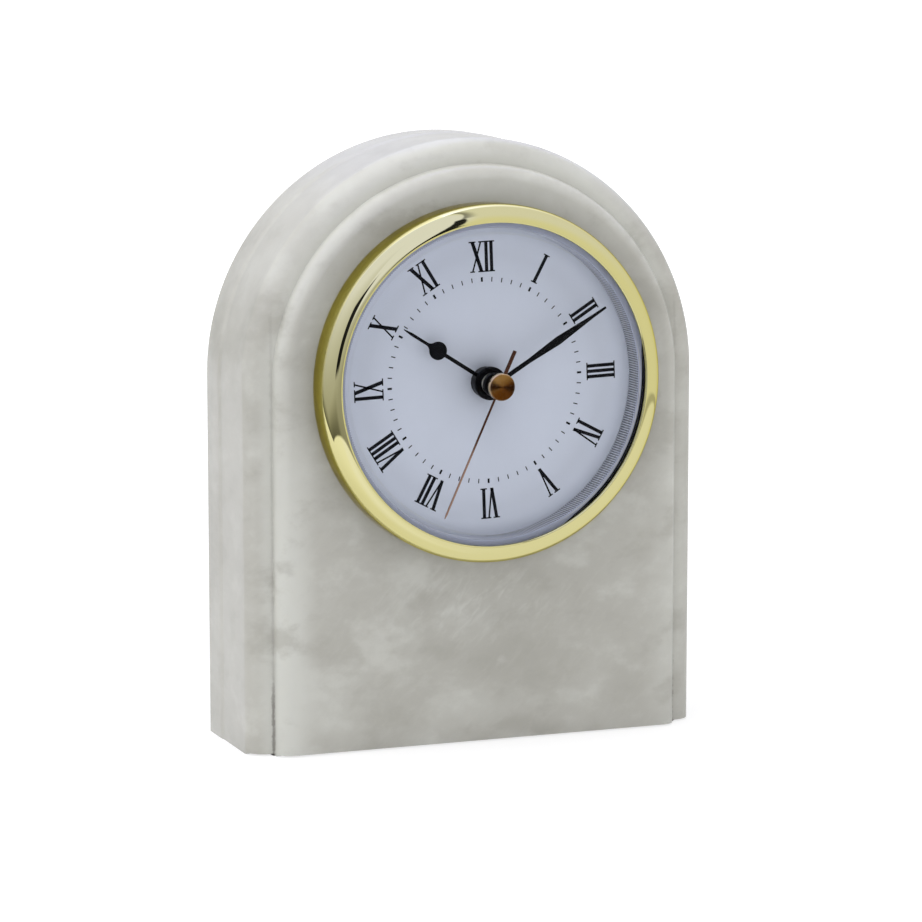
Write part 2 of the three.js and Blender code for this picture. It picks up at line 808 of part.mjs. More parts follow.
// Hour wheel on a pipe that carries the hour hand.
function hourWheel() {
  const back = hourLevel - wheelThickness;
  const wheel = gear(hourWheelTeeth, hourModule, wheelForm, hourPhase, back, hourLevel);
  const pipeTop = hourHeight + hourHubHeight;
  const pipe = rod(hourRadius, back, pipeTop, centreAxis, 2 * smallSegments);
  const bore = rod(hourBore, back - weld, pipeTop + weld, centreAxis, 2 * smallSegments);
  return joined(wheel, pipe).subtract(bore);
}

// Minute arbor: a tube with the cannon pinion, which carries the minute hand.
function minuteArbor() {
  const back = plateFront + axialGap / 2;
  const top = minuteHeight + minuteHubHeight;
  const low = centreLevel + axialGap / 2;
  const pinion = gear(cannonPinionTeeth, motionModule, leafForm, 0, low, motionLevel);
  const tube = rod(minuteRadius, back, top, centreAxis, 2 * smallSegments);
  const bore = rod(minuteBore, back - weld, top + weld);
  return joined(pinion, tube).subtract(bore);
}

// Centre wheel, which drags the minute arbor by friction.
function centreWheel() {
  const back = centreLevel - wheelThickness;
  const wheel = gear(centreWheelTeeth, centreModule, wheelForm, centrePhase, back, centreLevel);
  const bore = rod(minuteRadius + runGap, back - weld, centreLevel + weld, centreAxis, 2 * smallSegments);
  return wheel.subtract(bore);
}

// Motion wheel and pinion on a fixed post.
function motionWheel() {
  const back = motionLevel - wheelThickness;
  const wheel = gear(motionWheelTeeth, motionModule, wheelForm, motionPhase, back, motionLevel, motionAxis);
  const pinion = gear(motionPinionTeeth, hourModule, leafForm, 0, back, hourLevel, motionAxis);
  const bore = rod(motionPostRadius + runGap, back - weld, hourLevel + weld, motionAxis);
  return joined(wheel, pinion).subtract(bore);
}

// Seconds wheel and pinion on the long arbor that carries the second hand.
function secondsWheel() {
  const back = secondsLevel - wheelThickness;
  const wheel = gear(secondsWheelTeeth, fifthModule, wheelForm, 0, back, secondsLevel);
  const pinion = gear(secondsPinionTeeth, thirdModule, leafForm, 0, back, thirdLevel);
  const top = secondHeight + handThickness + capHeight / 2;
  const arbor = rod(secondsArborRadius, back, top);
  const pivot = rod(pivotRadius, rotorFront - pivotLength, back + weld);
  return joined(wheel, pinion, arbor, pivot);
}

// Third wheel behind the plate, its pinion in front of it.
function thirdWheel() {
  const back = thirdLevel - wheelThickness;
  const wheel = gear(thirdWheelTeeth, thirdModule, wheelForm, thirdPhase, back, thirdLevel, thirdAxis);
  const pinionBack = centreLevel - wheelThickness;
  const pinion = gear(
    thirdPinionTeeth,
    centreModule,
    leafForm,
    0,
    pinionBack,
    centreLevel,
    thirdAxis,
  );
  const arbor = rod(arborRadius, back, pinionBack + weld, thirdAxis);
  const front = rod(pivotRadius, pinionBack, centreLevel + axialGap + pivotLength, thirdAxis);
  const rear = rod(pivotRadius, below(thirdLevel) + axialGap / 2 - pivotLength, back + weld, thirdAxis);
  return joined(wheel, pinion, arbor, front, rear);
}

// Fifth wheel and its pinion.
function fifthWheel() {
  const back = fifthLevel - wheelThickness;
  const wheel = gear(fifthWheelTeeth, rotorModule, wheelForm, 0, back, fifthLevel, fifthAxis);
  const pinion = gear(fifthPinionTeeth, fifthModule, leafForm, fifthPhase, back, secondsLevel, fifthAxis);
  const shoulder = rod(arborRadius, secondsLevel - weld, plateBack - seatGap, fifthAxis);
  const front = rod(pivotRadius, secondsLevel, plateBack + plateThickness * 0.7, fifthAxis);
  const rear = rod(pivotRadius, rotorFront - pivotLength, back + weld, fifthAxis);
  return joined(wheel, pinion, shoulder, front, rear);
}

// Rotor: a round magnet with a pinion on a slim arbor.
function rotor() {
  const magnet = rod(magnetRadius, rotorBack, rotorFront, rotorAxis, 2 * smallSegments);
  const pinion = gear(
    rotorPinionTeeth,
    rotorModule,
    leafForm,
    rotorPhase,
    rotorFront - weld,
    fifthLevel,
    rotorAxis,
  );
  const shoulder = rod(arborRadius, fifthLevel - weld, plateBack - seatGap, rotorAxis);
  const front = rod(pivotRadius, fifthLevel, plateBack + plateThickness * 0.7, rotorAxis);
  const rear = rod(pivotRadius, rotorBack - axialGap - pivotLength, rotorBack + weld, rotorAxis);
  return joined(magnet, pinion, shoulder, front, rear);
}

// Stator: a bar around the rotor with two legs that reach up to the coil's core.
function stator() {
  const [x, y] = rotorAxis;
  const half = magnetRadius + statorGap + statorRim;
  const legTop = coilUp + coreWidth / 2 + statorRim / 2;
  const outline = new THREE.Shape([
    new THREE.Vector2(x - statorArm, y - half),
    new THREE.Vector2(x + statorArm, y - half),
    new THREE.Vector2(x + statorArm, legTop),
    new THREE.Vector2(x + statorArm - statorLeg, legTop),
    new THREE.Vector2(x + statorArm - statorLeg, y + half),
    new THREE.Vector2(x - statorArm + statorLeg, y + half),
    new THREE.Vector2(x - statorArm + statorLeg, legTop),
    new THREE.Vector2(x - statorArm, legTop),
  ]);
  const hole = new THREE.Path();
  hole.absarc(x, y, magnetRadius + statorGap, 0, 2 * Math.PI);
  outline.holes.push(hole);
  return prism(outline, statorBack, statorFront, 2 * smallSegments);
}

// Iron core that bridges the stator's legs through the coil.
function coilCore() {
  const [x] = rotorAxis;
  return block(
    [x - statorArm, coilUp - coreWidth / 2, coreBack],
    [x + statorArm, coilUp + coreWidth / 2, statorBack],
  );
}

// Bobbin with its winding around the core.
function coil() {
  const half = coilHalfLength;
  const outer = coilRadius + bobbinFlange;
  const spool = turned([
    [0, -half],
    [outer, -half],
    [outer, -half + bobbinFlangeWidth],
    [coilRadius, -half + bobbinFlangeWidth],
    [coilRadius, half - bobbinFlangeWidth],
    [outer, half - bobbinFlangeWidth],
    [outer, half],
    [0, half],
  ], smallSegments).rotate([0, 90, 0]).translate([rotorAxis[0], coilUp, coilDepth]);
  const wide = coreWidth / 2 + seatGap;
  const deep = statorThickness / 2 + seatGap;
  return spool.subtract(block(
    [rotorAxis[0] - half - weld, coilUp - wide, coilDepth - deep],
    [rotorAxis[0] + half + weld, coilUp + wide, coilDepth + deep],
  ));
}

function circuitBoard() {
  return block(
    [-boardHalfWidth, boardBottom, coverFront],
    [boardHalfWidth, boardBottom + boardHeight, boardFront],
  );
}

// Chip under a round-cornered cover on the board.
function chip() {
  const middle = boardBottom + boardHeight / 2;
  return prism(roundedRectangle(
    chipPlace - chipSize / 2,
    middle - chipSize / 2,
    chipPlace + chipSize / 2,
    middle + chipSize / 2,
    chipSize / 5,
  ), boardFront, boardFront + chipHeight, 4);
}

// Crystal in its round can, lying on the board.
function quartzCrystal() {
  const middle = boardBottom + boardHeight / 2;
  const can = rod(crystalRadius, -crystalLength / 2, crystalLength / 2).rotate([0, 90, 0]);
  return can.translate([crystalPlace, middle, boardFront + crystalRadius + seatGap / 2]);
}

// Battery lying across the bay, plus end to the right.
function battery() {
  const radius = batteryDiameter / 2;
  const end = batteryLength / 2;
  const shoulder = end - batteryNubLength;
  const cell = turned([
    [0, -end],
    [radius - batteryEdge, -end],
    [radius, -end + batteryEdge],
    [radius, shoulder - batteryEdge],
    [radius - batteryEdge, shoulder],
    [batteryNubDiameter / 2, shoulder],
    [batteryNubDiameter / 2, end],
    [0, end],
  ], roundSegments / 2);
  return cell.rotate([0, 90, 0]).translate([0, batteryUp, batteryDepth]);
}

// Contact strip: a leg along the bay's end with a bump for the battery, bent in to the board.
function contact(side, bumpRadius) {
  const outer = chamberHalfWidth - seatGap / 3;
  const inner = outer - contactThickness;
  const bendTop = boardBottom + boardHeight / 4;
  const reach = boardHalfWidth - contactReach;
  const legLow = batteryUp - contactWidth / 2;
  const back = boardFront + seatGap / 3;
  const leg = block([inner, legLow, back], [outer, bendTop, back + contactWidth]);
  const arm = block(
    [reach, bendTop - contactThickness, back],
    [outer, bendTop, back + contactWidth],
  );
  const bump = rod(bumpRadius, -contactBump, weld / 2).rotate([0, 90, 0]);
  const strip = joined(leg, arm, bump.translate([inner, batteryUp, batteryDepth]));
  return side > 0 ? strip : strip.mirror([1, 0, 0]);
}

// Setting knob with a gripped edge, its shaft and its pinion.
function settingKnob() {
  const outline = [];
  const steps = 3 * knobGrips;
  for (let step = 0; step < steps; step += 1) {
    const angle = (step / steps) * 2 * Math.PI;
    const radius = knobRadius + knobGripDepth * Math.cos(knobGrips * angle);
    outline.push(new THREE.Vector2(radius * Math.cos(angle), radius * Math.sin(angle)));
  }
  const top = movementBack - axialGap;
  const grip = prism(new THREE.Shape(outline), top - knobHeight, top).translate([...knobAxis, 0]);
  const pinionBack = motionLevel - wheelThickness;
  const pinion = gear(
    knobPinionTeeth,
    motionModule,
    leafForm,
    knobPhase,
    pinionBack,
    motionLevel,
    knobAxis,
  );
  const shaft = rod(knobShaftRadius, top - weld, pinionBack + weld / 2, knobAxis);
  const pivot = rod(pivotRadius, pinionBack, motionLevel + axialGap + pivotLength / 2, knobAxis);
  return joined(grip, shaft, pinion, pivot);
}

const brass = 0xb98a3e;
const steel = 0xb9bcc0;
const whitePlastic = 0xe6e4dc;

const group = new THREE.Group();
group.add(piece('front_slab', frontSlab(), 0xbdbdb4, 0.3));
group.add(piece('middle_slab', middleSlab(), 0xc9cac2, 0.3));
group.add(piece('back_slab', backSlab(), 0xcbccc5, 0.3));

const insert = new THREE.Group();
insert.position.set(0, frontY - dialProud, archHeight);
insert.rotation.set(Math.PI / 2, 0, insertRoll);
insert.add(piece('bezel', bezel(), 0xd9cf8f, 0.15, 1));
insert.add(piece('lens', lens(), 0xe8eef4, 0.05));
insert.add(piece('dial_ring', dialRing(), 0xa9adb8, 0.3, 0.8));
insert.add(piece('dial', dial(), 0xd4dae6, 0.6));
insert.add(piece('insert_cup', insertCup(), 0x1c1c1e, 0.5));
insert.add(piece('grip_ring', gripRing(), 0x2a2a2a, 0.9));
insert.add(piece('ring_nut', ringNut(), 0x151515, 0.4));
insert.add(piece('hour_hand', hourHandBody(), 0x0b0b0c, 0.4));
insert.add(piece('minute_hand', minuteHandBody(), 0x0b0b0c, 0.4));
insert.add(piece('second_hand', secondHandBody(), 0x9a6a50, 0.35, 1));
insert.add(piece('second_hand_cap', secondHandCap(), 0x9c6d2a, 0.3, 1));
insert.add(piece('movement_case', movementCase(), 0x232325, 0.6));
insert.add(piece('movement_cover', movementCover(), 0x232325, 0.6));
insert.add(piece('train_plate', trainPlate(), whitePlastic, 0.6));
insert.add(piece('hour_wheel', hourWheel(), whitePlastic, 0.5));
insert.add(piece('minute_arbor', minuteArbor(), brass, 0.35, 1));
insert.add(piece('centre_wheel', centreWheel(), whitePlastic, 0.5));
insert.add(piece('motion_wheel', motionWheel(), whitePlastic, 0.5));
insert.add(piece('seconds_wheel', secondsWheel(), steel, 0.35, 1));
insert.add(piece('third_wheel', thirdWheel(), whitePlastic, 0.5));
insert.add(piece('fifth_wheel', fifthWheel(), whitePlastic, 0.5));
insert.add(piece('rotor', rotor(), 0x55575c, 0.4, 0.8));
insert.add(piece('stator', stator(), steel, 0.4, 1));
insert.add(piece('coil_core', coilCore(), steel, 0.4, 1));
insert.add(piece('coil', coil(), 0xa4552a, 0.4, 0.6));
insert.add(piece('circuit_board', circuitBoard(), 0x2f5d3a, 0.5));
insert.add(piece('chip', chip(), 0x111111, 0.4));
insert.add(piece('quartz_crystal', quartzCrystal(), steel, 0.25, 1));
insert.add(piece('battery', battery(), 0x8a8d92, 0.3, 0.8));
insert.add(piece('contact_positive', contact(1, plusBumpRadius), 0xc0a060, 0.3, 1));
insert.add(piece('contact_negative', contact(-1, minusBumpRadius), 0xc0a060, 0.3, 1));
insert.add(piece('setting_knob', settingKnob(), 0x2b2b2d, 0.5));
group.add(insert);

export default group;
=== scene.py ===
"""Marble desk clock: a stepped stone arch that carries a round quartz clock insert."""
import json

import bmesh
import bpy
import numpy as np
from bpy.props import FloatProperty, FloatVectorProperty, IntProperty, PointerProperty
from mathutils import Matrix, Vector
from numpy import arccos, clip, cos, cross, hypot, linspace, pi, radians, sin, tan


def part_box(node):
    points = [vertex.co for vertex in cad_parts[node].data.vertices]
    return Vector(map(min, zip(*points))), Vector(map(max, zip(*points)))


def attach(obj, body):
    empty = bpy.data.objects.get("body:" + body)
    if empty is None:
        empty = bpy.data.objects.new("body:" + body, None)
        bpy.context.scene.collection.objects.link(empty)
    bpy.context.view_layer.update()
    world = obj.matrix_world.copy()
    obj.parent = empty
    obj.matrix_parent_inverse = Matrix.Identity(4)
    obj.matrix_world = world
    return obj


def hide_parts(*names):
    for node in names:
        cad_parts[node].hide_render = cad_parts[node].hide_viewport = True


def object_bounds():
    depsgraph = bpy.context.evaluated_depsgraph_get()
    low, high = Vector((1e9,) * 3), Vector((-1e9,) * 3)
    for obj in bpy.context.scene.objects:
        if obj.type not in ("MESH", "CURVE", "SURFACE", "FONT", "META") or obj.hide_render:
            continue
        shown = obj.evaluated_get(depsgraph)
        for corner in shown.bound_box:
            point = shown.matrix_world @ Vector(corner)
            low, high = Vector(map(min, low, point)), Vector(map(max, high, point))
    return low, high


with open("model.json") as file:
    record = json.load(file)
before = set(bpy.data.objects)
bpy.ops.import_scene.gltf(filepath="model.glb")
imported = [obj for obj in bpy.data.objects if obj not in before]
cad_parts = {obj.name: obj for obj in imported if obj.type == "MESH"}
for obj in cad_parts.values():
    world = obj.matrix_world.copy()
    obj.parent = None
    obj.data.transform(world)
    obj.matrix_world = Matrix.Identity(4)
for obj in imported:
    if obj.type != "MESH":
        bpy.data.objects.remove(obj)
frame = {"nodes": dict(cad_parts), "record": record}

bl_info = {
    "name": "Marble desk clock",
    "version": (1, 0, 0),
    "blender": (4, 5, 0),
    "location": "View3D > Sidebar > Clock",
    "description": "Dresses the solid model of a marble desk clock",
    "category": "Add Mesh",
}

MM = 0.001
TAU = 2 * pi
CAD_BOX = [list(corner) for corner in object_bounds()]
BODY_OF = {
    node: body
    for body, nodes in frame["record"]["behaviour"]["bodies"].items()
    for node in nodes
}

# Places read from the solid model
BEZEL_LOW, BEZEL_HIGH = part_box("bezel")
AXIS_X = (BEZEL_LOW.x + BEZEL_HIGH.x) / 2
AXIS_Z = (BEZEL_LOW.z + BEZEL_HIGH.z) / 2
DIAL_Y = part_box("dial")[0].y
STONE_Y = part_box("front_slab")[0].y
HALF_CASE = (CAD_BOX[1][0] - CAD_BOX[0][0]) / 2

INSERT_ROLL = radians(2.1)  # the insert sits turned in its bore by this
PLAY = 0.3 * MM  # room between pieces that fit into each other
FINISH = {}  # materials by their slot in the record, filled by main


def length(name, description, millimetres):
    """A length property, given in millimetres."""
    return FloatProperty(
        name=name, description=description, default=millimetres * MM, unit="LENGTH", precision=5
    )


def colour(name, description, value):
    """A colour property in linear light."""
    return FloatVectorProperty(
        name=name, description=description, default=value, subtype="COLOR", min=0, max=1
    )


def power(name, description, watts):
    """The strength of a lamp."""
    return FloatProperty(name=name, description=description, default=watts, unit="POWER")


# ---------------------------------------------------------------- settings


class CaseSettings(bpy.types.PropertyGroup):
    tier_step: length("Tier step", "How far the front tier stands proud", 4.3)
    tier_margin: length("Tier margin", "Distance from the outline to the tier", 6.4)
    tier_edge: length("Tier edge", "Rounding of the tier's front edge", 3.7)
    body_edge: length("Body edge", "Rounding of the front slab's outer edge", 5)
    back_edge: length("Back edge", "Rounding of the back slab's rear edge", 1.2)
    lip_run: length("Lip run", "Length of the soft rise to the back slab's wider outline", 3.2)
    base_ease: length("Base ease", "Lift of the edges over the table", 0.5)
    corner_fillet: length("Corner fillet", "Rounding in the inner corner of the step", 0.25)
    bore_ease: length("Bore ease", "Chamfer of the bore", 0.4)
    stone: colour("Stone", "Ground colour of the marble", (0.56, 0.553, 0.508))
    cloud: colour("Cloud", "Pale clouds and veins", (0.70, 0.703, 0.657))
    blotch: colour("Blotch", "Brownish patches", (0.445, 0.435, 0.388))
    # colour that the step's inner corner is mixed towards
    corner_darkening: colour("Darker_corner", "Darkening in the step's corner", (0.12, 0.095, 0.08))


class InsertSettings(bpy.types.PropertyGroup):
    bezel_rim: length("Bezel rim", "Top of the bezel's straight wall over the dial", 4.9)
    bezel_lip: length("Bezel lip", "Thickness of the lip over the lens", 0.8)
    bezel_opening: length("Bezel opening", "Radius of the opening", 40.45)
    flutes: IntProperty(name="Flutes", description="Flutes of the dial ring", default=400, min=24)
    flute_depth: length("Flute depth", "Depth of a flute", 0.3)
    print_lift: length("Print lift", "Print stands off the middle by this", 0.3)
    print_thickness: length("Print thickness", "Height of the printed ink", 0.025)
    numeral_foot: length("Numeral foot", "Radius at the foot of the numerals", 27.3)
    numeral_height: length("Numeral height", "Height of the numerals", 7.75)
    tick_radius: length("Tick radius", "Middle of the minute track", 25.45)
    tick_length: length("Tick length", "Length of a tick", 1.15)
    tick_width: length("Tick width", "Width of a minute tick", 0.26)
    hour_tick_width: length("Hour tick width", "Width of an hour tick", 0.52)
    gold: colour("Gold", "Plating of the bezel", (0.85, 0.785, 0.34))
    silver: colour("Silver", "Dial ring", (0.72, 0.73, 0.77))
    dial_white: colour("Dial white", "Paint of the dial", (0.682, 0.72, 0.809))
    ink: colour("Ink", "Print on the dial", (0.004, 0.004, 0.005))
    lens_tint: colour("Lens tint", "Light left by each face of the lens", (0.985, 0.99, 1.0))
    # painted light: the lilac stands in for the tint that the lens's edge lays on the ring's top
    lilac: colour("Lilac", "Top of the dial ring", (0.44, 0.465, 0.575))


class HandSettings(bpy.types.PropertyGroup):
    hour_length: length("Hour length", "Hour hand from the axis", 27)
    hour_stem: length("Hour stem", "Width of the hour hand's stem", 0.95)
    hour_blob: length("Hour blob", "Radius of the round part", 2.3)
    hour_blob_place: length("Blob place", "Middle of the round part", 16.4)
    hour_point: length("Hour point", "Width of the hour hand's point", 0.75)
    hour_flare: length("Hour flare", "Hollow rounding between the round part and the point", 1.9)
    minute_length: length("Minute length", "Minute hand from the axis", 35)
    needle_width: length("Needle width", "Width of the second hand", 0.5)
    needle_dip: length("Needle dip", "Bend of the needle towards the dial", 2.5)
    tail_length: length("Tail length", "Tail of the second hand", 9.6)
    tail_width: length("Tail width", "Width of the tail", 0.9)
    cap_radius: length("Cap radius", "Radius of the brass cap", 3.42)
    cap_groove: length("Cap groove", "Pitch of the turned rings on the cap", 0.13)
    black: colour("Black", "Hour and minute hand", (0.002, 0.002, 0.002))
    copper: colour("Copper", "Second hand", (0.41, 0.25, 0.165))
    brass: colour("Brass", "Cap", (0.37, 0.195, 0.042))


class MovementSettings(bpy.types.PropertyGroup):
    moulded_edge: length("Moulded edge", "Rounding of the plastic edges", 0.35)
    housing: colour("Housing", "Cup of the insert", (0.012, 0.012, 0.013))
    plastic: colour("Plastic", "Movement", (0.022, 0.022, 0.024))
    jacket: colour("Jacket", "Jacket of the battery", (0.30, 0.31, 0.33))


class StageSettings(bpy.types.PropertyGroup):
    azimuth: FloatProperty(
        name="Azimuth", description="Camera to the left of the dial's axis",
        default=radians(20.9617), subtype="ANGLE")
    elevation: FloatProperty(
        name="Elevation", description="Camera looking down by this",
        default=radians(8.598), subtype="ANGLE")
    place: FloatVectorProperty(
        name="Camera place", description="Where the camera stands",
        default=(-0.3385, -0.88735, 0.2132), subtype="TRANSLATION", precision=5)
    lens: FloatProperty(
        name="Focal length", description="For a 36 mm sensor", default=146.3, unit="CAMERA")
    ambient: FloatProperty(
        name="Ambient", description="Soft light from all round", default=0.64,
        min=0, max=1, subtype="FACTOR")
    top_lamp: power("Top lamp", "Overhead softbox", 9.0)
    left_lamp: power("Left lamp", "Softbox on the left", 1.15)
    front_lamp: power("Front lamp", "Fill light", 0.4)
    floor: colour("Floor", "Floor and backdrop", (0.93, 0.93, 0.93))


# ---------------------------------------------------------------- shapes


def on_dial(across, up, out):
    """World points of the insert: across and up are turned by the roll, out runs to the viewer.

    x = across cos(roll) - up sin(roll), z = across sin(roll) + up cos(roll), y = dial - out.
    """
    across, up, out = np.broadcast_arrays(across, up, out)
    x = AXIS_X + across * cos(INSERT_ROLL) - up * sin(INSERT_ROLL)
    z = AXIS_Z + across * sin(INSERT_ROLL) + up * cos(INSERT_ROLL)
    return np.stack([x, DIAL_Y - out, z], -1)


def clockwise(u, v, angle):
    """Points turned clockwise: (u cos a + v sin a, v cos a - u sin a)."""
    return u * cos(angle) + v * sin(angle), v * cos(angle) - u * sin(angle)


def node_points(node):
    """All vertices of a solid as one array."""
    mesh = frame["nodes"][node].data
    points = np.empty(3 * len(mesh.vertices), np.float32)
    mesh.vertices.foreach_get("co", points)
    return points.reshape(-1, 3).astype(float)


def radii(node):
    """Least and greatest distance of a solid's vertices from the dial's axis."""
    points = node_points(node)
    distance = hypot(points[:, 0] - AXIS_X, points[:, 2] - AXIS_Z)
    return distance.min(), distance.max()


def outs(node):
    """Lowest and highest reach of a solid over the face of the dial."""
    low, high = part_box(node)
    return DIAL_Y - high.y, DIAL_Y - low.y


def hand_angle(node):
    """Angle of a hand, clockwise from the twelve: where its farthest vertex lies."""
    points = node_points(node)
    x, z = points[:, 0] - AXIS_X, points[:, 2] - AXIS_Z
    tip = np.argmax(hypot(x, z))
    return np.arctan2(x[tip], z[tip]) + INSERT_ROLL


def half_width(node):
    """Half of a solid's width."""
    low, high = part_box(node)
    return (high.x - low.x) / 2


def unit(vectors):
    """Vectors (k, 2) brought to length one."""
    return vectors / np.linalg.norm(vectors, axis=1, keepdims=True)


def rounded(corners, radius, steps=4):
    """A closed outline whose corners are arcs, each tangent to its two sides."""
    corner = np.asarray(corners, float)
    radius = np.broadcast_to(np.asarray(radius, float), len(corner))[:, None]
    before = unit(np.roll(corner, 1, 0) - corner)
    after = unit(np.roll(corner, -1, 0) - corner)
    half = arccos(clip((before * after).sum(1, keepdims=True), -1, 1)) / 2
    centre = corner + unit(before + after) * radius / sin(half)
    start = corner + before * radius / tan(half) - centre
    end = corner + after * radius / tan(half) - centre
    sweep = pi - 2 * half
    part = linspace(0, 1, steps + 1)
    first = (sin((1 - part) * sweep) / sin(sweep))[:, :, None]
    second = (sin(part * sweep) / sin(sweep))[:, :, None]
    arcs = centre[:, None] + first * start[:, None] + second * end[:, None]
    return arcs.reshape(-1, 2)


def mirrored(right):
    """A closed outline from its right half (x, y), which runs upwards."""
    return np.concatenate([right, right[::-1] * [-1, 1]])


def inset(outline, distance):
    """An outline moved inwards by a distance along the mitre of its two sides."""
    side = np.roll(outline, -1, 0) - outline
    normal = unit(np.stack([side[:, 1], -side[:, 0]], -1))
    before = np.roll(normal, 1, 0)
    mitre = (before + normal) / (1 + (before * normal).sum(1, keepdims=True))
    return outline - distance * mitre


def turned(profile, segments, place=on_dial):
    """A profile carried round an axis: (r cos a, r sin a, h) for each of its points (r, h)."""
    profile = np.asarray(profile, float)
    angle = np.arange(segments) * TAU / segments
    r, h = profile[:, :1], profile[:, 1:]
    return place(r * cos(angle), r * sin(angle), h + 0 * angle)


def extruded(outline, low, high, edge, steps=3):
    """An outline carried from low to high, with quarter rounds at both ends; (u, v, w) rows."""
    turn = linspace(0, pi / 2, steps + 1)
    insets = np.concatenate([edge * (1 - sin(turn)), edge * (1 - cos(turn))])
    heights = np.concatenate([low + edge * (1 - cos(turn)), high - edge * (1 - sin(turn))])
    rows = np.stack([inset(outline, distance) for distance in insets])
    return np.concatenate([rows, np.broadcast_to(heights[:, None, None], rows.shape[:2] + (1,))], 2)


def rolled_over(points, angle):
    """Points (u, v, w) turned clockwise about the dial's axis, then put in the world."""
    u, v, w = np.moveaxis(points, -1, 0)
    return on_dial(*clockwise(u, v, angle), w)


def loft(rows, wrap=False):
    """Points and faces through rows of closed loops; the ends meet, or each gets one flat face."""
    count, around = rows.shape[:2]
    r, c = np.meshgrid(np.arange(count if wrap else count - 1), np.arange(around), indexing="ij")
    r2, c2 = (r + 1) % count, (c + 1) % around
    quads = np.stack([r * around + c, r * around + c2, r2 * around + c2, r2 * around + c], -1)
    ends = [] if wrap else [np.arange(around)[::-1], np.arange(around) + (count - 1) * around]
    return facing_out(rows.reshape(-1, 3), [quads.reshape(-1, 4)] + [end[None] for end in ends])


def ring(profile, segments):
    """A closed profile carried round the dial's axis."""
    return loft(turned(profile, segments), wrap=True)


def washer(hole, edge, low, high, rounding, segments=96, steps=4):
    """A flat ring between two radii and two heights, with rounded edges."""
    corners = [(hole, low), (edge, low), (edge, high), (hole, high)]
    return ring(rounded(corners, rounding, steps), segments)


def facing_out(points, faces):
    """Turns all faces round if the volume that they enclose is negative."""
    centred = points - points.mean(0)
    volume = 0
    for group in faces:
        first = np.repeat(group[:, :1], group.shape[1] - 2, 1)
        a, b, c = centred[first], centred[group[:, 1:-1]], centred[group[:, 2:]]
        volume += (a * cross(b, c)).sum()
    return points, [group[:, ::-1] for group in faces] if volume < 0 else faces


def upright_quads(x0, y0, x1, y1, width):
    """Quads (k, 4, 2) from (x0, y0) up to (x1, y1), equally wide along x at both ends."""
    half = np.asarray(width) / 2
    corners = np.broadcast_arrays(x0 - half, y0, x0 + half, y0, x1 + half, y1, x1 - half, y1)
    return np.stack(corners, -1).reshape(-1, 4, 2)


BOX_FACES = np.array([
    [3, 2, 1, 0], [4, 5, 6, 7], [0, 1, 5, 4], [1, 2, 6, 5], [2, 3, 7, 6], [3, 0, 4, 7]])


def plates(quads, low, high):
    """Thin plates on convex quads (k, 4, 2): eight points and six faces each."""
    base = np.stack([quads] * 2, 1)
    height = np.broadcast_to(np.array([low, high])[None, :, None, None], base.shape[:3] + (1,))
    points = np.concatenate([base, height], 3).reshape(-1, 3)
    faces = (np.arange(len(quads))[:, None, None] * 8 + BOX_FACES).reshape(-1, 4)
    return points, faces


def piece(name, parts, body, nodes=(), sharp=32):
    """One object from parts (shape, material), riding on a body and standing for solids.

    Edges that turn by more than sharp, in degrees, are shaded as edges.
    """
    mesh = bpy.data.meshes.new(name)
    points, loops, totals, material_of = [], [], [], []
    start = 0
    materials = []
    for (part_points, part_faces), material in parts:
        if material not in materials:
            materials.append(material)
        points.append(part_points)
        for group in part_faces:
            loops.append((group + start).ravel())
            totals.append(np.full(len(group), group.shape[1]))
            material_of.append(np.full(len(group), materials.index(material)))
        start += len(part_points)
    points, loops, totals = map(np.concatenate, (points, loops, totals))
    mesh.vertices.add(len(points))
    mesh.vertices.foreach_set("co", points.astype(np.float32).ravel())
    mesh.loops.add(len(loops))
    mesh.loops.foreach_set("vertex_index", loops.astype(np.int32))
    mesh.polygons.add(len(totals))
    mesh.polygons.foreach_set("loop_start", (np.cumsum(totals) - totals).astype(np.int32))
    for material in materials:
        mesh.materials.append(material)
    mesh.polygons.foreach_set("material_index", np.concatenate(material_of).astype(np.int32))
    mesh.polygons.foreach_set("use_smooth", np.ones(len(totals), bool))
    mesh.update(calc_edges=True)
    if mesh.validate():
        raise RuntimeError(f"the mesh of {name} isn't valid")
    mesh.set_sharp_from_angle(angle=radians(sharp))
    made = bpy.data.objects.new(name, mesh)
    return carried(made, body, nodes)


def carried(made, body, nodes):
    """Links an object, lets it ride on its body and hides the solids that it stands for."""
    bpy.context.scene.collection.objects.link(made)
    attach(made, body)
    if nodes:
        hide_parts(*nodes)
    return made


def stand_in(node, name, slot, shapes, sharp=32):
    """One object in one finish, which takes a solid's place and rides on its body."""
    parts = [(shape, FINISH[slot]) for shape in shapes]
    return piece(name, parts, BODY_OF[node], [node], sharp)


MERGE = 2e-6  # points of a solid that are closer than this become one
FLAT = radians(1)  # faces that meet at less than this become one
CREASE = radians(35)  # edges that turn by more than this are rounded


def eased_copy(node, name, slot, edge):
    """A copy of a solid with merged points and its edges rounded by a Bevel modifier."""
    mesh = frame["nodes"][node].data.copy()
    mesh.name = name
    work = bmesh.new()
    work.from_mesh(mesh)
    bmesh.ops.remove_doubles(work, verts=work.verts, dist=MERGE)
    bmesh.ops.dissolve_limit(work, angle_limit=FLAT, verts=work.verts, edges=work.edges)
    work.to_mesh(mesh)
    work.free()
    mesh.materials.clear()
    mesh.materials.append(FINISH[slot])
    mesh.polygons.foreach_set("use_smooth", np.ones(len(mesh.polygons), bool))
    mesh.set_sharp_from_angle(angle=CREASE)
    made = bpy.data.objects.new(name, mesh)
    bevel = made.modifiers.new("Moulded edges", "BEVEL")
    bevel.width = edge
    bevel.segments = 2
    bevel.limit_method = "ANGLE"
    bevel.angle_limit = CREASE
    bevel.harden_normals = True
    return carried(made, BODY_OF[node], [node])


# ---------------------------------------------------------------- finishes


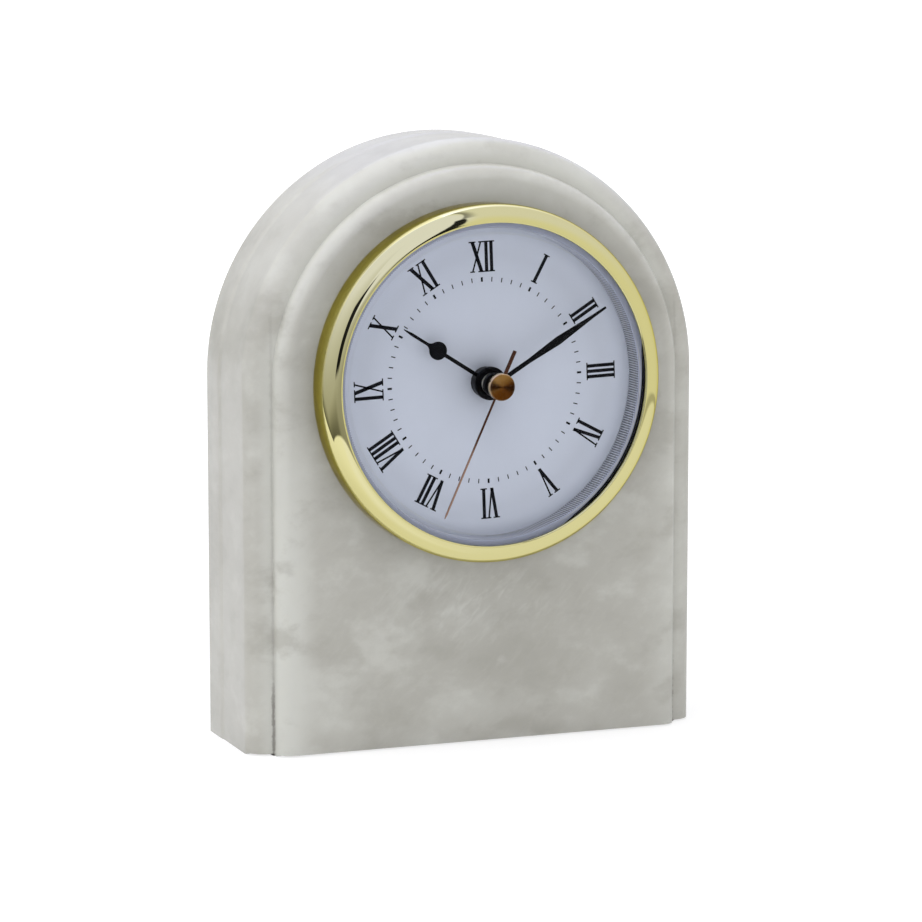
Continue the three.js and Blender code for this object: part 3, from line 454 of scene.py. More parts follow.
class Field:
    """One socket of a node tree; arithmetic on it adds Math nodes."""

    def __init__(self, sheet, socket):
        self.sheet = sheet
        self.socket = socket

    def _math(self, operation, *values):
        return self.sheet.node("ShaderNodeMath", {"operation": operation}, dict(enumerate(values)))

    def __add__(self, other):
        return self._math("ADD", self, other)

    def __radd__(self, other):
        return self._math("ADD", other, self)

    def __sub__(self, other):
        return self._math("SUBTRACT", self, other)

    def __rsub__(self, other):
        return self._math("SUBTRACT", other, self)

    def __mul__(self, other):
        return self._math("MULTIPLY", self, other)

    def __rmul__(self, other):
        return self._math("MULTIPLY", other, self)

    def __truediv__(self, other):
        return self._math("DIVIDE", self, other)

    def __rtruediv__(self, other):
        return self._math("DIVIDE", other, self)

    def __pow__(self, other):
        return self._math("POWER", self, other)

    def __abs__(self):
        return self._math("ABSOLUTE", self)

    def sine(self):
        return self._math("SINE", self)

    def arcsine(self):
        return self._math("ARCSINE", self)

    def arctan2(self, other):
        return self._math("ARCTAN2", self, other)

    def larger(self, other):
        return self._math("MAXIMUM", self, other)

    def smaller(self, other):
        return self._math("MINIMUM", self, other)

    def between(self, low, high):
        """Smooth step: 0 at low, 1 at high."""
        return self.sheet.node(
            "ShaderNodeMapRange",
            {"interpolation_type": "SMOOTHSTEP", "clamp": True},
            {"Value": self, "From Min": low, "From Max": high, "To Min": 0.0, "To Max": 1.0},
        )


class Sheet:
    """A node tree of a material or a world."""

    def __init__(self, owner):
        self.owner = owner
        owner.use_nodes = True
        self.tree = owner.node_tree
        self.tree.nodes.clear()

    def put(self, socket, value):
        """Links a socket to a field or sets its value; a colour of three parts is made opaque."""
        if isinstance(value, Field):
            self.tree.links.new(value.socket, socket)
        elif socket.type == "RGBA" and len(value) == 3:
            socket.default_value = (*value, 1)
        else:
            socket.default_value = value

    def node(self, kind, settings=None, sockets=None, output=0):
        """Any node: its type, its settings, the values or links of its sockets, and one output."""
        made = self.tree.nodes.new(kind)
        for key, value in (settings or {}).items():
            setattr(made, key, value)
        for key, value in (sockets or {}).items():
            self.put(made.inputs[key], value)
        return Field(self, made.outputs[output]) if len(made.outputs) else None

    def vector(self, operation, *values, output="Vector"):
        """Vector Math on any number of values."""
        return self.node(
            "ShaderNodeVectorMath", {"operation": operation}, dict(enumerate(values)), output)

    def place(self):
        """Object coordinates."""
        return self.node("ShaderNodeTexCoord", output="Object")

    def parts(self, vector):
        """The three parts of a vector."""
        split = self.node("ShaderNodeSeparateXYZ", sockets={"Vector": vector}).socket.node
        return [Field(self, split.outputs[axis]) for axis in "XYZ"]

    def from_axis(self):
        """Places across and up from the dial's axis, and the distance from it."""
        x, _, z = self.parts(self.place())
        across, up = x - AXIS_X, z - AXIS_Z
        return across, up, (across ** 2 + up ** 2) ** 0.5

    def rays(self, *kinds):
        """What Light Path tells of a ray."""
        path = self.node("ShaderNodeLightPath").socket.node
        return [Field(self, path.outputs[kind]) for kind in kinds]

    def moved(self, vector, offset=(0, 0, 0), scale=(1, 1, 1)):
        """A vector scaled, then moved."""
        return self.node(
            "ShaderNodeMapping", {"vector_type": "POINT"},
            {"Vector": vector, "Location": offset, "Scale": scale})

    def noise(self, vector, scale, detail=3.0, roughness=0.5, distortion=0.0, output=0):
        """Layered noise, around 0.5."""
        return self.node(
            "ShaderNodeTexNoise", {"noise_dimensions": "3D"},
            {"Vector": vector, "Scale": scale, "Detail": detail, "Roughness": roughness,
             "Distortion": distortion}, output)

    def mixed(self, first, second, factor):
        """A colour between two others."""
        mix = self.node("ShaderNodeMix", {"data_type": "RGBA"}).socket.node
        self.put(mix.inputs["Factor"], factor)
        colours = [s for s in mix.inputs if s.type == "RGBA"]
        self.put(colours[0], first)
        self.put(colours[1], second)
        return Field(self, next(s for s in mix.outputs if s.type == "RGBA"))

    def bump(self, height, distance):
        """A normal that follows a height."""
        return self.node(
            "ShaderNodeBump", None, {"Height": height, "Distance": distance, "Strength": 1.0})

    def principled(self, **sockets):
        """The main shader; a socket's name has _ for its spaces."""
        named = {key.replace("_", " "): value for key, value in sockets.items()}
        return self.node("ShaderNodeBsdfPrincipled", None, named)

    def background(self, tone, strength=1.0):
        """Light of a world."""
        return self.node("ShaderNodeBackground", None, {"Color": tone, "Strength": strength})

    def blended(self, first, second, factor):
        """A shader between two others."""
        return self.node("ShaderNodeMixShader", None, {0: factor, 1: first, 2: second})

    def finish(self, surface, kind="ShaderNodeOutputMaterial"):
        """Ends the tree with its surface and gives back its owner."""
        self.node(kind, None, {"Surface": surface})
        return self.owner


def sheet(name):
    """The empty node tree of a new material."""
    return Sheet(bpy.data.materials.new(name))


# Pale clouds, grey patches and feathery wisps of the front, in millimetres:
# middle x and z, reach along x and z, strength
CLOUDS = [
    (-20.5, 30, 7, 25, 0.7), (-21, 5, 12, 10, 0.65), (-36, 8, 24, 12, 0.8), (-4, 8, 20, 7, 0.7),
    (19, 11, 17, 4.4, 0.7), (-51, 45, 8, 14, 0.5), (-53, 18, 7, 28, 0.6), (52, 38, 8, 52, 0.75),
    (-2, 40, 28, 8, 0.3), (-49, 68, 10, 18, 0.4), (38, 52, 12, 8, 0.3),
    (0, 152, 75, 32, 0.8)]
PATCHES = [
    (-36, 28, 13, 14, 0.5), (8, 22, 36, 11, 0.75), (15, 2.6, 14, 4, 0.8),
    (40, 14, 12, 16, 0.5), (5, 52, 40, 9, 0.25), (6, 30, 75, 70, 0.4)]
WISPS = [(-2, 37, 26, 11, 1.0)]
BEND = 14 * MM  # noise moves the rims of these by up to half of this either way


def marble(settings):
    """Polished stone: clouds, patches and wisps of layered noise, painted light and shade on the
    tier's edge, and a darker colour in the step's inner corner.

    A cloud is 1 in the middle of an ellipse and 0 at its rim, in coordinates bent by noise.
    """
    s = sheet("marble")
    place = s.place()
    x, y, z = s.parts(place)
    front = 1 - y.between(STONE_Y + 8 * MM, STONE_Y + 12 * MM)
    shift = s.noise(place, 48, 4, 0.5, output="Color")
    shift = s.vector("MULTIPLY_ADD", shift, (BEND, 0, BEND), (-BEND / 2, 0, -BEND / 2))
    bent = s.vector("ADD", place, shift)

    def patched(spots):
        """The strongest of some soft ellipses."""
        total = None
        for across, up, wide, high, strength in spots:
            scale = (1 / (wide * MM), 0, 1 / (high * MM))
            around = s.moved(bent, (-across / wide, 0, -up / high), scale)
            near = s.vector("LENGTH", around, output="Value")
            mask = (1 - near.between(0.05, 1.3)) * strength
            total = mask if total is None else total.larger(mask)
        return total

    # ground, clouds and patches
    drift = s.noise(s.moved(place, (0.31, 0.07, 0.52)), 15, 4, 0.5)
    clouds = s.noise(s.moved(place, (0.13, 0.4, 0.21), (1, 1, 1.3)), 42, 5, 0.55)
    blotches = s.noise(s.moved(place, (0.77, 0.2, 0.05)), 26, 4, 0.5)
    pale = (drift * 0.6 + clouds * 0.5).between(0.42, 0.78) * 0.45
    brown = blotches.between(0.48, 0.75) * 0.55
    tone = s.mixed(settings.stone, settings.cloud, pale.larger(patched(CLOUDS) * front))
    tone = s.mixed(tone, settings.blotch, brown.larger(patched(PATCHES) * front))

    # painted light and shade on the tier's edge; inward runs from its outline to the middle
    high, left = z - AXIS_Z, (0 - x).between(15 * MM, 40 * MM)
    inward = HALF_CASE - settings.tier_margin - (x ** 2 + high.larger(0) ** 2) ** 0.5
    painted_fold_light = 1 - abs(inward + 0.3 * MM).between(0, 3.8 * MM)
    painted_fold_light = painted_fold_light * left.larger(high.between(0, 30 * MM))
    crest = inward.between(-0.3 * MM, 0.4 * MM)
    painted_crest_highlight = crest * (1 - inward.between(3 * MM, 11 * MM))
    painted_crest_highlight = painted_crest_highlight * left * (1 - high.between(-50 * MM, 30 * MM))
    painted_crest_shade = crest * (1 - inward.between(1.2 * MM, 4.5 * MM)) * high.between(35 * MM, 50 * MM)
    # painted light: the valley where the tier meets the step is made paler to lift its shade, and
    # the crest on the left gets a painted highlight line
    tone = s.mixed(tone, settings.cloud, (painted_fold_light * 0.75).larger(painted_crest_highlight) * front)
    # painted shade: the crest at the top is pulled towards the ground colour to dim its highlight
    tone = s.mixed(tone, settings.stone, painted_crest_shade * 0.8 * front)

    # wisps along the slanting fibre, figure and grain
    slant = s.node("ShaderNodeCombineXYZ", None, {0: x + z, 1: y, 2: 3.5 * (z - x)})
    fibre = s.noise(slant, 130, 6, 0.62, 0.5)
    feather = fibre.between(0.46, 0.74) * (0.12 + 0.5 * patched(WISPS) * front)
    tone = s.mixed(tone, settings.cloud, feather)
    figure = s.noise(s.moved(place, (0.2, 0.6, 0.9), (1, 1, 1.5)), 58, 5, 0.6)
    strength = 0.32 + 0.23 * front
    tone = s.mixed(tone, settings.cloud, figure.between(0.5, 0.7) * strength)
    tone = s.mixed(tone, settings.blotch, (1 - figure.between(0.32, 0.5)) * strength)
    grain = s.noise(place, 420, 4, 0.6)
    tone = s.mixed(tone, settings.blotch, grain.between(0.5, 0.85) * 0.08)

    # darker colour in the step's inner corner, faint all the way up and strongest near the table,
    # with a ragged edge
    corner = abs(abs(x) - (HALF_CASE - settings.tier_margin))
    step = abs(y - (STONE_Y + settings.tier_step))
    ragged = s.noise(place, 700, 3, 0.6) - 0.5
    near = 1 - (corner.larger(step) + ragged * (1.2 * MM)).between(0.1 * MM, 0.6 * MM)
    low = 1 - (z + ragged * (6 * MM)).between(12 * MM, 22 * MM)
    tone = s.mixed(tone, settings.corner_darkening, near * (0.1 + low * 0.45))
    return s.finish(s.principled(
        Base_Color=tone,
        Roughness=0.26,
        Subsurface_Weight=0.12,
        Subsurface_Radius=(0.9, 0.85, 0.7),
        Subsurface_Scale=2 * MM,
    ))


def plated(name, tone, dull, polish, smear=0.05, rim=(1, 1, 1), skin=0.004 * MM):
    """Plated metal: smears change its polish, a slow noise its colour; rim is its edge tint."""
    s = sheet(name)
    place = s.place()
    cloud = s.noise(place, 90, 4, 0.6, 0.5)
    speck = s.noise(place, 900, 3, 0.5)
    return s.finish(s.principled(
        Base_Color=s.mixed(tone, dull, cloud.between(0.4, 0.8) * 0.35),
        Metallic=1.0,
        Roughness=polish + (cloud - 0.5) * smear + (speck - 0.5) * (smear * 0.6),
        Normal=s.bump(speck, skin),
        Specular_Tint=rim,
    ))


def moulded(name, tone, gloss, grain_scale=2600):
    """Moulded plastic: a fine spark-eroded grain and slight changes of gloss."""
    s = sheet(name)
    place = s.place()
    grain = s.noise(place, grain_scale, 2, 0.5)
    flow = s.noise(place, 60, 3, 0.5, 0.6)
    lighter = [min(1, c * 1.35 + 0.004) for c in tone]
    return s.finish(s.principled(
        Base_Color=s.mixed(tone, lighter, flow.between(0.35, 0.7)),
        Roughness=gloss + (flow - 0.5) * 0.12,
        Normal=s.bump(grain, 0.02 * MM),
    ))


def painted(name, tone, gloss, peel_depth=0.01 * MM, sheen=0.5):
    """Paint: a faint orange peel and slow changes of tone."""
    s = sheet(name)
    place = s.place()
    peel = s.noise(place, 1300, 2, 0.5)
    slow = s.noise(place, 45, 3, 0.5)
    darker = [c * 0.93 for c in tone]
    return s.finish(s.principled(
        Base_Color=s.mixed(tone, darker, slow.between(0.3, 0.7)),
        Roughness=gloss,
        Normal=s.bump(peel, peel_depth),
        Specular_IOR_Level=sheen,
    ))


def dial_painted_rim_light(settings):
    """White disc with painted light: brighter towards its rim, to lift the shade that the ring
    casts there.
    """
    s = sheet("dial_white")
    _, _, radius = s.from_axis()
    # painted light: the paler colour near the ring
    rim = [min(1, c * 1.24) for c in settings.dial_white]
    tone = s.mixed(settings.dial_white, rim, radius.between(31 * MM, 38.5 * MM))
    return s.finish(s.principled(Base_Color=tone, Roughness=0.42))


def needle_copper(settings):
    """Copper with painted shade near the hub and painted light from the needle's bend outwards."""
    s = sheet("hand_copper")
    _, _, radius = s.from_axis()
    # painted shade: the dark colour near the hub
    dark = (0.085, 0.035, 0.018)
    tone = s.mixed(dark, settings.copper, radius.between(13 * MM, 21 * MM))
    return s.finish(s.principled(Base_Color=tone, Metallic=1.0, Roughness=0.32))


def turned_brass(settings):
    """Turned end of the cap, with painted light: two wedges of painted reflection across its centre
    with a dark band between them, painted shade on the side away from the top, and a painted
    highlight on the rim, strongest on its lit side.

    A wedge's share is |up| / r, with up along the wedges and r from the axis.
    """
    s = sheet("cap_brass")
    across, up, radius = s.from_axis()
    # painted colours: shade on the side away from the top, a dark band between the reflection
    # wedges, and a highlight for the rim
    low, dark, rim_highlight = (0.12, 0.037, 0.003), (0.045, 0.014, 0.003), (0.85, 0.62, 0.34)
    wedge = abs(up + across * 0.09) / (radius + 0.05 * MM)
    # painted light on the side towards the top
    lit = (up - across * 0.6).between(-1.2 * MM, 3.2 * MM)
    tone = s.mixed(low, settings.brass, lit)
    tone = s.mixed(dark, tone, wedge.between(0.02, 0.75))
    rim = radius.between(settings.cap_radius - 0.3 * MM, settings.cap_radius - 0.15 * MM)
    return s.finish(s.principled(
        Base_Color=s.mixed(tone, rim_highlight, rim * (0.2 + 0.8 * lit)), Metallic=1.0, Roughness=0.2))


def ring_silver(settings):
    """Silver flutes with painted shade in their grooves, a lilac top of painted light, and a black
    crescent of painted shade deep under the lip.

    The crescent starts at r = 40.08 + ((1 - cos a) / 0.21)^4 mm, with a from its middle, and a pale
    line of painted highlight runs inside it.
    """
    s = sheet("ring_silver")
    across, up, radius = s.from_axis()
    out = DIAL_Y - s.parts(s.place())[1]
    inner = radii("dial_ring")[0]
    middle = radians(115)
    facing = (across * sin(middle) + up * cos(middle)) / radius
    start = 40.08 * MM + MM * ((1 - facing) / 0.21).smaller(1.5) ** 4
    deep = (radius - start).between(-0.04 * MM, 0.04 * MM)
    line = 1 - abs(radius - 39.7 * MM).between(0.05 * MM, 0.2 * MM)
    line = line * facing.between(0.7, 0.9)
    top = out.between(5.7 * MM, 5.9 * MM)
    groove = (radius - inner).between(0.06 * MM, 0.28 * MM) * (1 - top)
    # painted colours: dark is shade in the flute grooves, pale a highlight line, black the
    # crescent's shade; the lilac top stands in for the tint of the lens's edge
    dark, pale, black = (0.05, 0.05, 0.055), (0.66, 0.66, 0.68), (0.003, 0.003, 0.004)
    tone = s.mixed(settings.silver, dark, groove * 0.75)
    tone = s.mixed(tone, settings.lilac, top)
    tone = s.mixed(tone, pale, top * line)
    return s.finish(s.principled(
        Base_Color=s.mixed(tone, black, deep),
        Metallic=0.75 * (1 - deep) * (1 - top),
        Roughness=0.36 + deep * 0.4,
        Specular_IOR_Level=0.2,
    ))


def lens_clear(settings):
    """Clear lens: looks straight through, with a little gloss by Fresnel."""
    s = sheet("lens_clear")
    clear = s.node("ShaderNodeBsdfTransparent", None, {"Color": settings.lens_tint})
    gloss = s.node("ShaderNodeBsdfGlossy", None, {"Color": (1, 1, 1), "Roughness": 0.03})
    edge = s.node("ShaderNodeFresnel", None, {"IOR": 1.4})
    return s.finish(s.blended(clear, gloss, edge * 0.07))


def winding_finish():
    """Enamelled wire: fine turns along the coil, one for each pitch."""
    s = sheet("winding")
    place = s.place()
    x, _, z = s.parts(place)
    pitch = 0.12 * MM
    wire = ((x * cos(INSERT_ROLL) + z * sin(INSERT_ROLL)) * (TAU / pitch)).sine()
    cloud = s.noise(place, 500, 3, 0.5)
    return s.finish(s.principled(
        Base_Color=s.mixed((0.36, 0.11, 0.03), (0.55, 0.2, 0.06), cloud),
        Metallic=0.8,
        Roughness=0.3 + cloud * 0.15,
        Normal=s.bump(wire, 0.03 * MM),
    ))


def finishes(scene):
    """All materials by their slot in the record."""
    insert, hands, movement = scene.clock_insert, scene.clock_hands, scene.clock_movement
    made = {
        "marble": marble(scene.clock_case),
        "lens_clear": lens_clear(insert),
        "ring_silver": ring_silver(insert),
        "dial_white": dial_painted_rim_light(insert),
        "hand_copper": needle_copper(hands),
        "cap_brass": turned_brass(hands),
        "winding": winding_finish(),
    }
    # Each maker's rows hold its values in order, the name left out
    rows = {
        plated: {
            "bezel_gold": (
                insert.gold, (0.82, 0.755, 0.32), 0.03, 0.01, (0.62, 0.55, 0.24), 0.001 * MM),
            "arbor_brass": ((0.55, 0.34, 0.08), (0.4, 0.25, 0.06), 0.25),
            "magnet": ((0.10, 0.105, 0.115), (0.06, 0.06, 0.07), 0.45),
            "lamination": ((0.42, 0.43, 0.45), (0.3, 0.3, 0.32), 0.38),
            "crystal_can": ((0.62, 0.63, 0.64), (0.55, 0.56, 0.58), 0.2),
            "contact_metal": ((0.6, 0.44, 0.16), (0.45, 0.32, 0.12), 0.3),
        },
        moulded: {
            "housing_black": (movement.housing, 0.5),
            "movement_black": (movement.plastic, 0.46),
            "grip_rubber": ((0.016, 0.016, 0.016), 0.75, 1500),
            "train_white": ((0.74, 0.72, 0.65), 0.4),
        },
        painted: {
            "dial_ink": (insert.ink, 0.5, 0.01 * MM, 0.1),
            "hand_black": (hands.black, 0.34, 0.001 * MM, 0.08),
            "nut_black": (hands.black, 0.4, 0.01 * MM, 0.2),
            "board": ((0.02, 0.11, 0.035), 0.3),
            "chip_black": ((0.008, 0.008, 0.009), 0.2),
            "battery_jacket": (movement.jacket, 0.28),
        },
    }
    for maker, slots in rows.items():
        made.update({slot: maker(slot, *row) for slot, row in slots.items()})
    return made


# Solids that stay as they are, by finish
KEPT_NODES = {
    "nut_black": ["ring_nut"],
    "train_white": [
        "train_plate", "hour_wheel", "centre_wheel", "motion_wheel", "seconds_wheel",
        "third_wheel", "fifth_wheel"],
    "arbor_brass": ["minute_arbor"],
    "magnet": ["rotor"],
    "lamination": ["stator", "coil_core"],
    "winding": ["coil"],
    "board": ["circuit_board"],
    "chip_black": ["chip"],
    "crystal_can": ["quartz_crystal"],
    "contact_metal": ["contact_positive", "contact_negative"],
}


# ---------------------------------------------------------------- the stone case


def arch_loop(bottom_steps=40, side_steps=24, arch_steps=144):
    """Shares that make an arch outline: x = a cx, z = lift cl + axis ch + a cs."""
    bottom = linspace(-1, 1, bottom_steps, endpoint=False)
    side = linspace(0, 1, side_steps, endpoint=False)
    turn = linspace(0, pi, arch_steps, endpoint=False)
    flat, flank, arch = np.zeros(bottom_steps), np.zeros(side_steps), np.zeros(arch_steps)
    cx = np.concatenate([bottom, flank + 1, cos(turn), flank - 1])
    cl = np.concatenate([flat + 1, 1 - side, arch, side])
    ch = np.concatenate([flat, side, arch + 1, 1 - side])
    cs = np.concatenate([flat, flank, sin(turn), flank])
    return cx, cl, ch, cs


def slab(half, sections, bore, ease):
    """A bored slab: arch loops through sections (y, inset, lift), closed by rings of the bore.

    A ring's point lies at the same angle about the dial's axis as the outline's point.
    """
    cx, cl, ch, cs = arch_loop()
    y, drop, lift = np.asarray(sections, float).T[:, :, None]
    a = half - drop
    outer = np.stack(np.broadcast_arrays(AXIS_X + a * cx, y, lift * cl + AXIS_Z * ch + a * cs), -1)
    angle = np.arctan2(half * cs + AXIS_Z * (ch - 1), half * cx)
    front, back = sections[0][0], sections[-1][0]
    ring_y = np.array([back, back, back - ease, front + ease, front, front])[:, None]
    ring_r = bore + np.array([3 * ease, ease, 0, 0, ease, 3 * ease])[:, None]
    inner = np.stack(np.broadcast_arrays(
        AXIS_X + ring_r * cos(angle), ring_y, AXIS_Z + ring_r * sin(angle)), -1)
    return loft(np.concatenate([outer, inner]), wrap=True)


def edge_sections(y, radius, start, ease, steps):
    """Quarter round from a face at y out to the side: y + r (1 - cos t), inset r (1 - sin t)."""
    turn = linspace(0, pi / 2, steps + 1)
    drop = radius * (1 - sin(turn))
    return [list(row) for row in zip(
        y + radius * (1 - cos(turn)), start + drop, np.minimum(drop, ease))]


# Rows of points this far from an edge keep the face beside it flat
HOLD, REAR_HOLD = 0.15 * MM, 0.4 * MM


def flush_edge(y, inward):
    """Sharp edge where two slabs are glued flush, so that no line shows."""
    rows = [[y, abs(inward), 0], [y, 0, 0], [y + inward, 0, 0]]
    return rows if inward > 0 else rows[::-1]


class CLOCK_OT_case(bpy.types.Operator):
    """Three marble slabs glued into a stepped arch with a bore"""

    bl_idname = "clock.case"
    bl_label = "Marble case"

    def execute(self, context):
        s = context.scene.clock_case
        bore = radii("middle_slab")[0]
        slabs = [
            ("front_slab", "stone_front", self.front(s)),
            ("middle_slab", "stone_middle", self.middle()),
            ("back_slab", "stone_back", self.back(s)),
        ]
        for node, name, sections in slabs:
            shape = slab(half_width(node), sections, bore, s.bore_ease)
            stand_in(node, name, "marble", [shape], sharp=40)
        return {"FINISHED"}

    def front(self, s):
        """Raised tier with a rounded edge, filleted step, rounded body edge, glued back."""
        low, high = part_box("front_slab")
        lift, fillet, margin = s.base_ease, s.corner_fillet, s.tier_margin
        step = low.y + s.tier_step
        tier = edge_sections(low.y, s.tier_edge, margin, lift, 14)
        corner = [
            [step - fillet * (1 - sin(t)), margin - fillet * (1 - cos(t)), 0]
            for t in linspace(0, pi / 2, 5)]
        body = edge_sections(step, s.body_edge, 0, lift, 18)
        return [
            [low.y, margin + s.tier_edge + HOLD, lift], *tier,
            [tier[-1][0] + HOLD, margin, 0],
            [step - fillet - HOLD, margin, 0], *corner,
            [step, corner[-1][1] - HOLD, 0],
            [step, s.body_edge + HOLD, lift], *body, [body[-1][0] + HOLD, 0, 0],
            *flush_edge(high.y, -HOLD),
        ]

    def middle(self):
        """Plain slab, glued on both sides."""
        low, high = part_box("middle_slab")
        return [*flush_edge(low.y, HOLD), *flush_edge(high.y, -HOLD)]

    def back(self, s):
        """Soft rise to a wider outline, inset lip (1 + cos(pi t)) / 2, and a rounded rear edge."""
        low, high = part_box("back_slab")
        lip = half_width("back_slab") - half_width("middle_slab")
        rise = [
            [low.y + s.lip_run * t, lip * (1 + cos(pi * t)) / 2, 0] for t in linspace(0, 1, 13)]
        edge = edge_sections(0, s.back_edge, 0, s.base_ease, 8)
        edge = [[0, edge[0][1] + REAR_HOLD, edge[0][2]], *edge, [edge[-1][0] + REAR_HOLD, 0, 0]]
        return [
            [low.y, lip + HOLD, 0], *rise,
            *[[high.y - y, drop, lift] for y, drop, lift in edge[::-1]]]


# ---------------------------------------------------------------- the clock insert


class CLOCK_OT_bezel(bpy.types.Operator):
    """Gold ring: straight wall, a face that rolls over as a quarter ellipse, a lip on the lens"""

    bl_idname = "clock.bezel"
    bl_label = "Bezel"

    def execute(self, context):
        s = context.scene.clock_insert
        foot, crest = outs("bezel")
        outer = radii("bezel")[1]
        seat, inner = radii("insert_cup")[1] + PLAY, radii("lens")[1] + PLAY
        opening, lip, rim = s.bezel_opening, s.bezel_lip, s.bezel_rim
        nose_radius, ease = lip / 3, 0.15 * MM
        top = opening + nose_radius
        turn = linspace(0, pi / 2, 29)
        face = np.stack([top + (outer - top) * cos(turn), rim + (crest - rim) * sin(turn)], -1)
        roll = linspace(0, pi / 2, 6)[1:]
        nose = np.stack([top - nose_radius * sin(roll), crest - nose_radius * (1 - cos(roll))], -1)
        under, plate = crest - lip, outs("dial")[0]
        profile = np.concatenate([
            [[outer - 3 * ease, foot], [outer - ease, foot + ease], [outer, foot + 3 * ease],
             [outer, rim - ease]],
            face, nose,
            [[opening, under + ease], [opening + ease, under], [inner, under], [inner, plate],
             [seat, plate], [seat, foot]],
        ])
        stand_in("bezel", "gold_bezel", "bezel_gold", [ring(profile, 288)])
        return {"FINISHED"}


def dome(rim_radius, rim_height, top, steps=36, least=0.05 * MM):
    """Circle through a rim and the top of a dome: r = R sin t, h = top - R (1 - cos t)."""
    rise = top - rim_height
    radius = (rim_radius ** 2 + rise ** 2) / (2 * rise)
    turn = linspace(np.arcsin(rim_radius / radius), np.arcsin(least / radius), steps)
    return np.stack([radius * sin(turn), top - radius * (1 - cos(turn))], -1)


class CLOCK_OT_lens(bpy.types.Operator):
    """Domed lens: flat edge under the lip, short wall, sloping shoulder and dome"""

    bl_idname = "clock.lens"
    bl_label = "Lens"

    def execute(self, context):
        s = context.scene.clock_insert
        low, top = outs("lens")
        edge = radii("lens")[1]
        shoulder, wall, thick, edge_thick = 1.4 * MM, 0.9 * MM, 1.7 * MM, 0.7 * MM
        foot = s.bezel_opening - PLAY
        inner_foot, edge_top = foot - thick, low + edge_thick
        inner = dome(inner_foot - shoulder, low + wall + shoulder, top - thick)[::-1]
        outer = dome(foot - shoulder, edge_top + wall + shoulder, top)
        profile = np.concatenate([
            inner,
            [[inner_foot, low + wall], [inner_foot, low], [edge, low], [edge, edge_top],
             [foot, edge_top], [foot, edge_top + wall]],
            outer,
        ])
        stand_in("lens", "clear_lens", "lens_clear", [loft(turned(profile, 224))], sharp=50)
        return {"FINISHED"}


class CLOCK_OT_dial_ring(bpy.types.Operator):
    """Silvery ring with a coin edge: its inner wall waves in and out with the flutes"""

    bl_idname = "clock.dial_ring"
    bl_label = "Dial ring"

    def execute(self, context):
        s = context.scene.clock_insert
        inner, outer = radii("dial_ring")
        low, high = outs("dial_ring")
        high -= 0.05 * MM  # clear of the lens, which rests on it
        ease, steps = 0.12 * MM, 6 * s.flutes
        angle = np.arange(steps) * TAU / steps
        wave = s.flute_depth * (0.5 + 0.5 * cos(s.flutes * angle))
        # radius, height, and the share of the flutes at each point of the profile
        rows = np.array([
            [inner, low, 1], [inner, (low + high) / 2, 1], [inner, high - 3 * ease, 1],
            [inner + ease, high - ease, 0.5], [inner + 3 * ease, high, 0],
            [inner + 3.4 * ease, high, 0], [outer - ease, high, 0], [outer, high, 0],
            [outer, low, 0], [inner + 3 * ease, low, 0]])
        r = rows[:, :1] + rows[:, 2:] * wave
        shape = loft(on_dial(r * cos(angle), r * sin(angle), rows[:, 1:2]), wrap=True)
        stand_in("dial_ring", "coin_ring", "ring_silver", [shape], sharp=60)
        return {"FINISHED"}


NUMERALS = ["XII", "I", "II", "III", "IV", "V", "VI", "VII", "VIII", "IX", "X", "XI"]
SHORTER_X = 0.6 * MM  # the ten is lower than the others by this
NUMERAL_SHIFT = 0.2 * MM  # the ring of numerals is printed off the middle by this

# Letters in millimetres: room across, widths of strokes, height and overhang of serifs
ROOM = {"I": 1.36, "V": 3.24, "X": 3.7}
THICK, THIN, SERIF, OVERHANG = 0.86, 0.42, 0.32, 0.44
# Stems of each letter: x at the top, x at the foot, width
STEMS = {
    "I": [(0, 0, THICK)],
    "V": [(-1.02, 0.14, THICK), (1.1, 0.14, THIN)],
    "X": [(-1.14, 1.22, THICK + 0.1), (1.16, -1.24, THIN)],
}


def letter_strokes(letter, height):
    """Strokes (x0, y0, x1, y1, width) of a letter, from its foot at y = 0 upwards."""
    strokes = []
    for top, foot, width in STEMS[letter]:
        wide = width + 2 * OVERHANG
        strokes += [(foot, 0, top, height, width), (top, height - SERIF, top, height, wide)]
        if letter != "V":
            strokes.append((foot, 0, foot, SERIF, wide))
    return strokes


def numeral_quads(numeral, height):
    """Quads of one numeral in millimetres, centred on x = 0."""
    widths = np.array([ROOM[letter] for letter in numeral])
    middles = np.cumsum(widths) - widths / 2 - widths.sum() / 2
    strokes = np.concatenate([
        np.array(letter_strokes(letter, height)) + [middle, 0, middle, 0, 0]
        for letter, middle in zip(numeral, middles)])
    return upright_quads(*strokes.T)


class CLOCK_OT_dial(bpy.types.Operator):
    """White dial with printed numerals and a minute track"""

    bl_idname = "clock.dial"
    bl_label = "Dial"

    def execute(self, context):
        s = context.scene.clock_insert
        disc = washer(*radii("dial"), *outs("dial"), 0.05 * MM, 192, 2)
        stand_in("dial", "white_dial", "dial_white", [disc])
        for hour, numeral in enumerate(NUMERALS):
            height = s.numeral_height - (SHORTER_X if numeral == "X" else 0)
            quads = numeral_quads(numeral, height / MM) * MM
            quads[:, :, 1] += s.numeral_foot
            self.print_on("numeral_" + numeral, quads, radians(30 * hour), s, NUMERAL_SHIFT)
        minute = np.arange(60)
        width = np.where(minute % 5 == 0, s.hour_tick_width, s.tick_width)
        reach = s.tick_length / 2
        ticks = upright_quads(0, s.tick_radius - reach, 0, s.tick_radius + reach, width)
        angle = radians(6 * minute)[:, None]
        ticks = np.stack(clockwise(ticks[:, :, 0], ticks[:, :, 1], angle), -1)
        self.print_on("minute_track", ticks, 0, s)
        return {"FINISHED"}

    def print_on(self, name, quads, angle, s, shift=0):
        """Ink on the dial: plates on quads, turned clockwise and moved."""
        points, faces = plates(quads, 0, s.print_thickness)
        u, v, w = points.T
        across, up = clockwise(u, v, angle)
        placed = on_dial(across + shift, up + s.print_lift, w)
        piece(name, [(facing_out(placed, [faces]), FINISH["dial_ink"])], "case")


